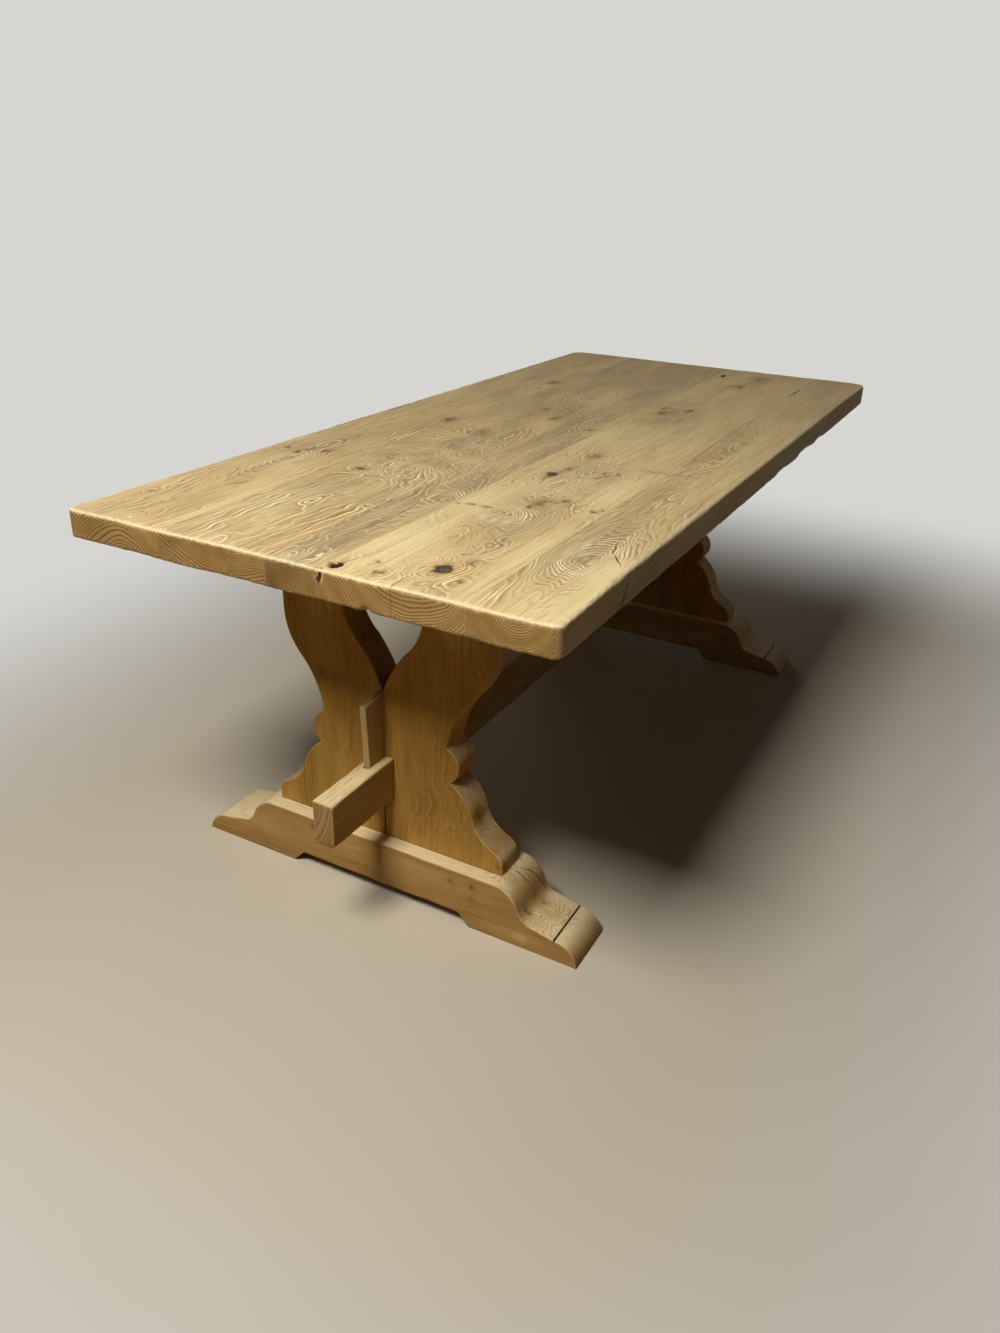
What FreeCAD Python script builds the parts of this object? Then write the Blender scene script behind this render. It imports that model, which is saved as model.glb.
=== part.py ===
import FreeCAD, Part
import os

# Trestle dining table of solid oak, knocked together with tusk wedges. Millimetres.
# The floor is z = 0 and the origin lies under the middle of the top. +X runs along the top
# to its far end, and +Y points to the left of someone who stands at the near end.

Vec = FreeCAD.Vector

# Top: boards glued edge to edge over loose tongues
TABLE_H = 750.0
TOP_L = 2000.0
TOP_W = 900.0
TOP_T = 50.0
TOP_CORNER_R = 12.0
TOP_ARRIS_R = 5.0
BOARD_JOINTS = (255.0, 40.0, -55.0, -307.0)
TONGUE_T = 10.0
TONGUE_W = 24.0
TONGUE_STOP = 120.0

# Base: two trestles and a stretcher, standing a little off the middle of the top
TRESTLE_SPAN = 1366.0
BASE_SHIFT = -48.0

# Foot, and its half outline as (distance from the middle, height)
FOOT_L = 850.0
FOOT_T = 116.0
FOOT_H = 118.0
FOOT_FLAT = 262.0
FOOT_PAD = 203.0
RELIEF_H = 25.0
RELIEF_FLAT = 180.0
TOE_H = 44.0
TOE_LINE_AT = 378.0
TOE_LINE_W = 3.0
TOE_LINE_DEEP = 3.0
FOOT_OUTLINE = (
    ((FOOT_FLAT, FOOT_H),),
    ((288.0, 103.0), (304.0, 76.0)),
    ((314.0, 61.0), (334.0, 53.0)),
    ((TOE_LINE_AT, TOE_H),),
    ((412.0, 29.0), (FOOT_L / 2, 0.0)),
    ((FOOT_PAD, 0.0),),
    ((RELIEF_FLAT, RELIEF_H),),
    ((0.0, RELIEF_H),),
)

# Uprights: a mirrored pair of sawn boards that meet on the middle seam and part in a V
UPRIGHT_T = 62.0
UPRIGHT_INSET = 30.0
UPRIGHT_TOE = 254.0
UPRIGHT_HEAD = 216.0
UPRIGHT_CROTCH = 428.0
V_HALF_W = 85.0
BEARER_H = 60.0
UPRIGHT_TOP = TABLE_H - TOP_T - BEARER_H
UPRIGHT_OUTLINE = (
    ((UPRIGHT_TOE, FOOT_H),),
    ((UPRIGHT_TOE, 138.0),),
    ((249.0, 152.0), (234.0, 163.0)),
    ((210.0, 180.0), (192.0, 208.0)),
    ((174.0, 250.0), (144.0, 280.0)),
    ((160.0, 315.0), (135.0, 349.0)),
    ((146.0, 397.0), (174.0, 446.0)),
    ((204.0, 490.0), (UPRIGHT_HEAD, 560.0)),
    ((UPRIGHT_HEAD, UPRIGHT_TOP),),
    ((V_HALF_W, UPRIGHT_TOP),),
    ((V_HALF_W, 592.0),),
    ((73.0, 545.0), (46.0, 509.0)),
    ((20.0, 470.0), (0.0, UPRIGHT_CROTCH)),
    ((0.0, FOOT_H),),
)

# Stub tenons of the uprights, as (nearest, furthest) from the seam
STUB_T = 24.0
FOOT_STUB = (60.0, 200.0)
FOOT_STUB_DEEP = 45.0
HEAD_STUB = (105.0, 195.0)
HEAD_STUB_DEEP = 35.0

# Dowels across the seam of each pair
DOWEL_R = 6.0
DOWEL_L = 70.0
DOWEL_HEIGHTS = (145.0, 180.0, 325.0, 385.0)
DOWEL_EASE = 0.05

# Bearer under the top, with bevelled ends
BEARER_L = 780.0
BEARER_T = 90.0
BEARER_BEVEL_L = 40.0
BEARER_BEVEL_H = 30.0

# Wood screws up through the bearer, one into each board
SCREW_L = 70.0
SCREW_R = 2.5
SCREW_POINT = 8.0
SCREW_TIP_R = 0.4
SCREW_END_ROOM = 0.5
SCREW_HEAD_R = 5.0
SCREW_CROWN_R = 3.0
SCREW_HEAD_H = 4.0
SCREW_HOLE_R = 3.0
SCREW_PILOT_R = 2.6
SCREW_SINK_R = 7.0
SCREW_SINK_DEEP = 25.0
SCREW_OFFSET = 28.0
SCREW_REACH = 335.0

# Stretcher with a long through tenon at each end
STRETCHER_W = 48.0
STRETCHER_H = 104.0
STRETCHER_MID = 250.0
TENON_W = 42.0
TENON_H = 88.0
TENON_OUT = 187.0
TENON_CHAMFER = 3.0

# Tusk wedge, driven down through the tenon against the uprights
WEDGE_T = 13.0
WEDGE_SIDE = 3.0
WEDGE_TOP = 427.0
WEDGE_TOP_W = 58.0
WEDGE_FRONT_DROP = 6.0
WEDGE_TIP_BELOW = 10.0
WEDGE_TIP_W = 44.0
WEDGE_EASE = 0.3
WEDGE_ARRIS_R = 2.5
WEDGE_DRAW_ROOM = 10.0

# Levels and faces that follow from the sizes above
TOP_UNDER = TABLE_H - TOP_T
UPRIGHT_OUTER = FOOT_T / 2 - UPRIGHT_INSET
UPRIGHT_INNER = UPRIGHT_OUTER - UPRIGHT_T
UPRIGHT_MID = (UPRIGHT_OUTER + UPRIGHT_INNER) / 2
TENON_TOP = STRETCHER_MID + TENON_H / 2
TENON_LOW = STRETCHER_MID - TENON_H / 2
WEDGE_TIP = TENON_LOW - WEDGE_TIP_BELOW
BOARD_EDGES = (TOP_W / 2,) + BOARD_JOINTS + (-TOP_W / 2,)
SIDES = {"left": 1, "right": -1}

# Two places closer than this count as one when edges are picked
TOUCH = 0.1


class Trestle:
    """One end of the base. Its depth axis points outwards, away from the table's middle."""

    def __init__(self, name, outward):
        self.name = name
        self.outward = outward
        self.middle = BASE_SHIFT + outward * TRESTLE_SPAN / 2

    def x(self, depth):
        """Return the X of a depth that is measured outwards from the foot's middle."""
        return self.middle + self.outward * depth


TRESTLES = (Trestle("near", -1), Trestle("far", 1))


def block(x_span, y_span, z_span):
    """Return a box from three pairs of limits, each in either order."""
    spans = [sorted(span) for span in (x_span, y_span, z_span)]
    lengths = [high - low for low, high in spans]
    return Part.makeBox(*lengths, Vec(*[low for low, high in spans]))


def sawn_board(start, steps, x_span, side=1):
    """Return a board of even thickness along X, sawn to an outline of (y, z) points.

    A step of one point is a straight run to it, and a step of two is an arc through the first.
    """
    low, high = sorted(x_span)
    here = Vec(low, side * start[0], start[1])
    edges = []
    for step in steps:
        points = [Vec(low, side * y, z) for y, z in step]
        curve = Part.LineSegment if len(points) == 1 else Part.Arc
        edges.append(curve(here, *points).toShape())
        here = points[-1]
    return Part.Face(Part.Wire(edges)).extrude(Vec(high - low, 0, 0))


def rod(radius, length, base, direction):
    return Part.makeCylinder(radius, length, base, direction)


def screw_places(trestle):
    """Return the (x, y) of each screw: the middle of its board, on alternate sides of the bearer."""
    places = []
    for i, (left, right) in enumerate(zip(BOARD_EDGES, BOARD_EDGES[1:])):
        y = max(-SCREW_REACH, min(SCREW_REACH, (left + right) / 2))
        depth = UPRIGHT_MID + SCREW_OFFSET * (-1) ** i
        places.append((trestle.x(depth), y))
    return places


def top_blank():
    """Return the whole top with its rounded corners and eased arrises."""
    slab = block((-TOP_L / 2, TOP_L / 2), (-TOP_W / 2, TOP_W / 2), (TOP_UNDER, TABLE_H))
    corners = [e for e in slab.Edges if e.BoundBox.ZLength > TOUCH]
    slab = slab.makeFillet(TOP_CORNER_R, corners)
    rims = [e for e in slab.Edges if e.BoundBox.ZLength < TOUCH]
    return slab.makeFillet(TOP_ARRIS_R, rims)


def tongue(y):
    """Return the loose tongue that lies across the joint at y."""
    middle = TABLE_H - TOP_T / 2
    reach = TOP_L / 2 - TONGUE_STOP
    return block(
        (-reach, reach),
        (y - TONGUE_W / 2, y + TONGUE_W / 2),
        (middle - TONGUE_T / 2, middle + TONGUE_T / 2),
    )


def top_board(blank, left, right):
    """Return one board of the top, grooved for its tongues and bored for the screws."""
    board = blank.common(block((-TOP_L, TOP_L), (left, right), (0, 2 * TABLE_H)))
    cuts = [tongue(y) for y in (left, right) if y in BOARD_JOINTS]
    depth = SCREW_L - (BEARER_H - SCREW_SINK_DEEP)
    for trestle in TRESTLES:
        for x, y in screw_places(trestle):
            if right < y < left:
                cuts.append(rod(SCREW_PILOT_R, depth, Vec(x, y, TOP_UNDER), Vec(0, 0, 1)))
    return board.cut(cuts).Solids[0]


def foot(trestle):
    """Return a foot with its moulded ends, the relief beneath and the upright's mortises."""
    faces = (trestle.x(-FOOT_T / 2), trestle.x(FOOT_T / 2))
    halves = []
    for side in SIDES.values():
        steps = FOOT_OUTLINE + (((0.0, FOOT_H),),)
        halves.append(sawn_board((0.0, FOOT_H), steps, faces, side))
    whole = halves[0].fuse(halves[1]).removeSplitter()
    cuts = [foot_stub(trestle, side) for side in SIDES.values()]
    cuts.append(toe_line(faces))
    return whole.cut(cuts).Solids[0]


def toe_line(faces):
    """Return the V that scores the right toe from face to face, carried on above the wood."""
    slope = TOE_LINE_W / 2 / TOE_LINE_DEEP
    high = TOE_H + TOE_LINE_DEEP
    reach = 2 * TOE_LINE_DEEP * slope
    start = (TOE_LINE_AT, TOE_H - TOE_LINE_DEEP)
    steps = (((TOE_LINE_AT + reach, high),), ((TOE_LINE_AT - reach, high),), (start,))
    return sawn_board(start, steps, faces, SIDES["right"])


def stub(trestle, side, span, z_span):
    half = STUB_T / 2
    depths = (trestle.x(UPRIGHT_MID - half), trestle.x(UPRIGHT_MID + half))
    return block(depths, (side * span[0], side * span[1]), z_span)


def foot_stub(trestle, side):
    return stub(trestle, side, FOOT_STUB, (FOOT_H - FOOT_STUB_DEEP, FOOT_H))


def head_stub(trestle, side):
    return stub(trestle, side, HEAD_STUB, (UPRIGHT_TOP, UPRIGHT_TOP + HEAD_STUB_DEEP))


def seam_dowels(trestle, radius):
    """Return the dowels across the seam, or at a larger radius their holes."""
    x = trestle.x(UPRIGHT_MID)
    length = DOWEL_L + 2 * (radius - DOWEL_R)
    return [rod(radius, length, Vec(x, -length / 2, z), Vec(0, 1, 0)) for z in DOWEL_HEIGHTS]


def tenon(trestle, depth_span):
    depths = [trestle.x(depth) for depth in depth_span]
    return block(depths, (-TENON_W / 2, TENON_W / 2), (TENON_LOW, TENON_TOP))


def upright(trestle, side):
    """Return one board of a trestle's pair, with its stub tenons and half the stretcher's mortise."""
    faces = (trestle.x(UPRIGHT_INNER), trestle.x(UPRIGHT_OUTER))
    board = sawn_board((0.0, FOOT_H), UPRIGHT_OUTLINE, faces, side)
    board = board.fuse([foot_stub(trestle, side), head_stub(trestle, side)])
    cuts = seam_dowels(trestle, DOWEL_R + DOWEL_EASE)
    cuts.append(tenon(trestle, (UPRIGHT_INNER, UPRIGHT_OUTER)))
    return board.cut(cuts).Solids[0]


def bearer(trestle):
    """Return the rail across the trestle's head, mortised for the uprights and bored for the screws."""
    half = BEARER_L / 2
    shoulder = half - BEARER_BEVEL_L
    bevel_top = UPRIGHT_TOP + BEARER_BEVEL_H
    corners = ((shoulder, UPRIGHT_TOP), (half, bevel_top), (half, TOP_UNDER),
               (-half, TOP_UNDER), (-half, bevel_top), (-shoulder, UPRIGHT_TOP))
    faces = [trestle.x(UPRIGHT_MID + BEARER_T / 2 * sign) for sign in (-1, 1)]
    rail = sawn_board(corners[-1], [(corner,) for corner in corners], faces)
    cuts = [head_stub(trestle, side) for side in SIDES.values()]
    for x, y in screw_places(trestle):
        base = Vec(x, y, UPRIGHT_TOP)
        cuts.append(rod(SCREW_SINK_R, SCREW_SINK_DEEP, base, Vec(0, 0, 1)))
        cuts.append(rod(SCREW_HOLE_R, BEARER_H, base, Vec(0, 0, 1)))
    return rail.cut(cuts).Solids[0]


def screw(x, y):
    """Return a wood screw whose head bears on the floor of its sinking."""
    seat = Vec(x, y, UPRIGHT_TOP + SCREW_SINK_DEEP)
    up = Vec(0, 0, 1)
    plain = SCREW_L - SCREW_POINT - SCREW_END_ROOM
    shank = rod(SCREW_R, plain, seat, up)
    point = Part.makeCone(SCREW_R, SCREW_TIP_R, SCREW_POINT, seat + up * plain, up)
    head = Part.makeCone(SCREW_CROWN_R, SCREW_HEAD_R, SCREW_HEAD_H, seat - up * SCREW_HEAD_H, up)
    return head.fuse([shank, point]).removeSplitter().Solids[0]


def wedge_outline(back):
    """Return the wedge's outline as (depth, height), its plumb back at a given depth."""
    return (
        (back, WEDGE_TIP),
        (UPRIGHT_OUTER + WEDGE_TIP_W, WEDGE_TIP),
        (UPRIGHT_OUTER + WEDGE_TOP_W, WEDGE_TOP - WEDGE_FRONT_DROP),
        (back, WEDGE_TOP),
    )


def wedge_blank(trestle, outline, thickness):
    """Return a slip of even thickness, set across the tenon beside the seam."""
    low = WEDGE_SIDE - thickness / 2
    points = [Vec(trestle.x(depth), low, z) for depth, z in outline]
    face = Part.Face(Part.makePolygon(points + points[:1]))
    return face.extrude(Vec(0, thickness, 0))


def wedge(trestle):
    """Return the tusk wedge: a plumb back against the uprights and a tapered front."""
    slip = wedge_blank(trestle, wedge_outline(UPRIGHT_OUTER), WEDGE_T)
    head = [e for e in slip.Edges if e.BoundBox.ZMin > WEDGE_TOP - WEDGE_FRONT_DROP - TOUCH]
    return slip.makeFillet(WEDGE_ARRIS_R, head)


def stretcher():
    """Return the long rail with its through tenons, each with a mortise for a wedge."""
    near, far = TRESTLES
    half_h = STRETCHER_H / 2
    rail = block(
        (near.x(UPRIGHT_INNER), far.x(UPRIGHT_INNER)),
        (-STRETCHER_W / 2, STRETCHER_W / 2),
        (STRETCHER_MID - half_h, STRETCHER_MID + half_h),
    )
    for trestle in TRESTLES:
        end = UPRIGHT_OUTER + TENON_OUT
        tongue_end = tenon(trestle, (UPRIGHT_INNER, end))
        rim = [e for e in tongue_end.Edges if abs(e.CenterOfMass.x - trestle.x(end)) < TOUCH]
        tongue_end = tongue_end.makeChamfer(TENON_CHAMFER, rim)
        rail = rail.fuse(tongue_end)
    for trestle in TRESTLES:
        hole = wedge_outline(UPRIGHT_OUTER - WEDGE_DRAW_ROOM)
        rail = rail.cut(wedge_blank(trestle, hole, WEDGE_T + 2 * WEDGE_EASE))
    return rail.removeSplitter().Solids[0]


def save(name, solids):
    """Write one named piece, or a group of like pieces, and check that each is a sound solid."""
    for solid in solids:
        if not solid.isValid() or solid.Volume <= 0:
            raise ValueError("unsound solid in " + name)
    shape = solids[0] if len(solids) == 1 else Part.makeCompound(solids)
    shape.exportStep("parts/" + name + ".step")


def build_top():
    blank = top_blank()
    for i, (left, right) in enumerate(zip(BOARD_EDGES, BOARD_EDGES[1:]), 1):
        save("top_board_%d" % i, [top_board(blank, left, right)])
    for i, y in enumerate(BOARD_JOINTS, 1):
        save("top_tongue_%d" % i, [tongue(y)])


def build_trestle(trestle):
    save(trestle.name + "_foot", [foot(trestle)])
    for word, side in SIDES.items():
        save("%s_%s_upright" % (trestle.name, word), [upright(trestle, side)])
    save(trestle.name + "_seam_dowels", seam_dowels(trestle, DOWEL_R))
    save(trestle.name + "_bearer", [bearer(trestle)])
    save(trestle.name + "_bearer_screws", [screw(x, y) for x, y in screw_places(trestle)])
    save(trestle.name + "_wedge", [wedge(trestle)])


def main():
    os.makedirs("parts", exist_ok=True)
    build_top()
    for trestle in TRESTLES:
        build_trestle(trestle)
    save("stretcher", [stretcher()])


main()
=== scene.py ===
import math
from collections import namedtuple

import bpy
import numpy as np
from bpy.props import FloatProperty, FloatVectorProperty, PointerProperty
from mathutils import Matrix, Vector


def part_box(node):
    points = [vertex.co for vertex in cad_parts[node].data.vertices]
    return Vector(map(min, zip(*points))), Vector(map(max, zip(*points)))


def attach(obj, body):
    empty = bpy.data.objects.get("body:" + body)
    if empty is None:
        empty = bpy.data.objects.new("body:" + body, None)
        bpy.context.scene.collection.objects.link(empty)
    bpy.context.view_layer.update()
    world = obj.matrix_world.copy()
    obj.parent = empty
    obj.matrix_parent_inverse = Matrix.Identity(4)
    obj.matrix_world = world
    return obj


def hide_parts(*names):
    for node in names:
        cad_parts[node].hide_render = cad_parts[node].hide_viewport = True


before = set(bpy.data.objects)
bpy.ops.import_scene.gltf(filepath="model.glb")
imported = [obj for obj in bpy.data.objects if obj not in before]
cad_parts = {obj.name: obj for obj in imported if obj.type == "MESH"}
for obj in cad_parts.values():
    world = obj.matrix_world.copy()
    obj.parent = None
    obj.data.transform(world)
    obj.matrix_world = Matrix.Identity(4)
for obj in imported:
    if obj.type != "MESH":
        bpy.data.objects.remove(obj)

# A trestle dining table in worn oak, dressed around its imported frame.
# Shapes are worked out in millimetres in the frame's axes: +X runs along the top to its far end,
# +Y points to the left of someone who stands at the near end, and +Z points up.

bl_info = {
    "name": "Oak trestle table",
    "version": (1, 0, 0),
    "blender": (4, 5, 0),
    "location": "View3D > Sidebar > Table",
    "description": "Boards, trestles, stretcher and wedges of a worn oak table, with their stage",
    "category": "Object",
}

MM = 0.001
X, Y, Z = 0, 1, 2
TABLE_BODY = "table"
TRESTLES = ("near", "far")
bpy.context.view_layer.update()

# An outline is a row of steps. A step of one point is a straight run to it, and a step of two points
# is an arc through the first, traced by so many points.
ARC_POINTS = 14

# Half outline of a foot as (distance from the middle, height)
FOOT_H = 118.0
FOOT_HALF = 425.0
FOOT_RELIEF = 25.0
FOOT_BLUNT = 0.8
TOE_LINE_AT = 378.0
TOE_LINE_HALF = 1.7
TOE_LINE_DEEP = 3.0
# Distances from a foot's end of the rows that follow its round toe
TOE_ROWS = (0.4, 1.0, 2.0, 3.5, 6.0, 9.0)
FOOT_TOP = (
    ((262.0, FOOT_H),),
    ((288.0, 103.0), (304.0, 76.0)),
    ((314.0, 61.0), (334.0, 53.0)),
    ((TOE_LINE_AT, 44.0),),
    ((412.0, 29.0), (FOOT_HALF, 0.0)),
)
FOOT_UNDER = (((180.0, FOOT_RELIEF),), ((203.0, 0.0),), ((FOOT_HALF, 0.0),))

# Half outline of an upright: its sawn outer edge and the inner edge of the V, upwards
UPRIGHT_TOE = 254.0
UPRIGHT_TOP = 640.0
UPRIGHT_CROTCH = 428.0
UPRIGHT_OUTER = (
    ((UPRIGHT_TOE, 138.0),),
    ((249.0, 152.0), (234.0, 163.0)),
    ((210.0, 180.0), (192.0, 208.0)),
    ((174.0, 250.0), (144.0, 280.0)),
    ((160.0, 315.0), (135.0, 349.0)),
    ((146.0, 397.0), (174.0, 446.0)),
    ((204.0, 490.0), (216.0, 560.0)),
    ((216.0, UPRIGHT_TOP),),
)
UPRIGHT_INNER = (
    ((0.0, UPRIGHT_CROTCH),),
    ((20.0, 470.0), (46.0, 509.0)),
    ((73.0, 545.0), (85.0, 592.0)),
    ((85.0, UPRIGHT_TOP),),
)
UPRIGHT_KINKS = (138.0, 163.0, 208.0, 280.0, 349.0, UPRIGHT_CROTCH)
UPRIGHT_NOMINAL = 200.0
# Height of the dark line where an upright stands on its foot
CONTACT_H = 1.2
# How much painted shade darkens the sawn inner edge of the V, which lies in the shade of the top
VEE_PAINTED_SHADE = 3.0

# Through tenons of the stretcher, and the room round them in the uprights
TENON_W = 42.0
TENON_LOW, TENON_TOP = 206.0, 294.0
TENON_GAP = 1.4
# How many times as round as the trestles' arrises the stretcher's are
RAIL_ARRIS = 1.5

# Wedges that lock the tenons, and the room round them in their mortises
WEDGE_NOMINAL = 58.0
WEDGE_TIP_W = 44.0
WEDGE_SLOPE_TOP = 421.0
WEDGE_HEAD = 60.0
WEDGE_DROP = 6.0
WEDGE_ARRIS = 1.8
WEDGE_LATTICE = 3.2
WEDGE_HOLE_BACK = 10.0
WEDGE_HOLE_FRONT = 4.0
WEDGE_HOLE_SIDE = 0.4

# Bearer under the top, with the sinkings of its screws
BEARER_BEVEL_L = 40.0
BEARER_BEVEL_H = 30.0
SINK_R = 7.0
SINK_DEEP = 25.0
SCREW_OFFSET = 28.0
SCREW_REACH = 335.0

# Half width of the top
TOP_HALF_W = 450.0
# Warp of the top: how far into it the uneven ends, the flare, the lean and the skew reach
BOW_REACH = 40.0
FLARE_REACH = 120.0
LEAN_REACH = 90.0
SKEW_REACH = 250.0
SKEW_WIDTH = 550.0
# Shares of the top's length in which the lean grows at the near end and dies away at the far end
LEAN_RUN_IN, LEAN_RUN_OUT = 0.12, 0.15
# Width of the rim whose arris swells and narrows, and of the one that keeps off the uneven face
SWELL_RIM = 30.0
CALM_RIM = 10.0

# Width beside an edge in which a lattice keeps its true size, and the largest share of a narrow place
# that such a strip takes
EDGE_STRIP = 8.0
STRIP_SHARE = 0.45
# How near to a face a point lies that counts as on it
ON_FACE = 0.1
# Added to the distance from an arris that nothing rubs
UNRUBBED = 8.0
# Width of the rubbed band on the trestles and on small pieces, as shares of the top's
TRESTLE_WEAR, SMALL_WEAR = 0.4, 0.35

# Up to here the boards have a finer lattice, because their near ends carry the finest marks
FINE_TO = -350.0
FINE_STEP, COARSE_STEP = 0.9, 1.5

# A size that reaches right through any piece
THROUGH = 1.0e5

# Figure: the share of the distance from the pith that counts on a long face, and the share of a lift
# that counts on end grain
FACE_SLOPE, END_LIFT = 0.5, 0.2
# Length of the sway of the pith along the grain
SWAY_LENGTH = 900.0
# How far round itself a knot bends the rings, in its half sizes, and how fast a swirl falls off
KNOT_REACH, SWIRL_FALL = 2.1, 2.8
# How far the crest of a board's flames sways, and how round the flames are there
CREST_SWAY, CREST_ROUND = 9.0, 26.0
# Up to the first distance a crack's own field holds, and at twice that it has faded out. Where there is
# no crack, the field says the second, in half widths.
CRACK_REACH, NO_CRACK = 9.0, 30.0
# Where along the top the figure calms down, and what is left of it
CALM_FROM, CALM_TO, CALM_LEFT = -300.0, 300.0, 0.4

# How much paler the base is where it faces up: sawn edges of the uprights, feet, tenons and bearers
EDGE_BLEACH, FOOT_BLEACH, TENON_BLEACH, BEARER_BLEACH = 1.5, 1.35, 1.1, 0.8
# How much the rounding of the arrises of the base swells and narrows
ARRIS_SWELL = 0.2

# Relief, as the strength of a bump and its depth in metres, and shine
OAK_BUMP, OAK_RELIEF, OAK_SHINE = 0.55, 0.0005, 0.15
STEEL_BUMP, STEEL_RELIEF, STEEL_SHINE = 0.2, 0.0001, 0.5

# Faces that meet at more than this angle keep a sharp edge
SHARP_ANGLE = math.radians(42.0)

# Camera of the reference view
CAMERA_AT = (-2.1067, -0.9436, 1.2844)
CAMERA_AZIMUTH = math.radians(-62.30)
CAMERA_ELEVATION = math.radians(26.10)
CAMERA_ROLL = math.radians(1.93)
FRAME_HEIGHT_PX = 1333.0
FOCAL_PX = 1028.86
SENSOR = 36.0

# Floor, in metres: its size, the half size of the table's plan, and from where to where outside that
# plan it fades into the backdrop
FLOOR_RADIUS = 30.0
FLOOR_RINGS, FLOOR_SIDES = 8, 64
HALF_PLAN = (1.0, 0.45, 0.0)
FADE_FROM, FADE_TO = 0.1, 1.5

# Lamps: place, aim and size, in metres
LAMPS = {
    "key": ((-2.2, 0.1, 2.8), (-0.7, 0.0, 0.6), 0.9),
    "fill": ((-1.5, 3.2, 2.2), (0.0, 0.0, 0.5), 2.5),
    "rear": ((2.9, 1.3, 0.42), (0.9, 0.0, 0.3), 0.7),
}


# Wood: what is known of the log each piece was sawn from

# A mark's place and half sizes lie in the frame's axes; a swirl's lie along and across the grain.
# A lift bends the rings, behind stretches a swirl backwards, and clear is how well its rings show. A
# hollow knot is an empty hole.
Knot = namedtuple("Knot", "at half lift dark hollow", defaults=(8.0, 0.4, False))
Stain = namedtuple("Stain", "at half strength")
Swirl = namedtuple("Swirl", "at half lift behind turn clear", defaults=(1.0, 0.0, 1.0))
Burr = namedtuple("Burr", "at half lift size")
Crack = namedtuple("Crack", "start end width through", defaults=(1.2, Z))
Dent = namedtuple("Dent", "at half push")
# The pith is given in the two axes across the grain, and leans by so much in each metre. The tone is
# above 0 for darker wood. A board's flames have a crest across it and a slope away from that crest.
Timber = namedtuple(
    "Timber",
    "seed grain pith lean ring tone crest slope figure knots stains swirls burrs cracks",
    defaults=(None, 0.5, 1.0, (), (), (), (), ()),
)


def all_marks(kind, *rows):
    """Marks of one kind, each from a row of its values."""
    return tuple(kind(*row) for row in rows)


def board_knot(x, y, half_long, half_wide, lift=8.0, dark=0.3, hollow=False):
    """A knot that runs straight through a board of the top."""
    return Knot((x, y, 0.0), (half_long, half_wide, THROUGH), lift, dark, hollow)


def board_stain(x, y, half_long, half_wide, strength):
    """A stain that runs straight through a board: above 0 it is darker, below 0 paler."""
    return Stain((x, y, 0.0), (half_long, half_wide, THROUGH), strength)


def board_swirl(x, y, half_long, half_wide, lift, behind=1.0, turn=0.0, clear=1.0):
    """Nested rings in a board. They reach further behind their middle than ahead of it."""
    return Swirl((x, y), (half_long, half_wide), lift, behind, math.radians(turn), clear)


def board_crack(x1, y1, x2, y2, width=1.2):
    """A crack that runs straight down through a board, between two places in plan."""
    return Crack((x1, y1, 0.0), (x2, y2, 0.0), width, Z)


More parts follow.
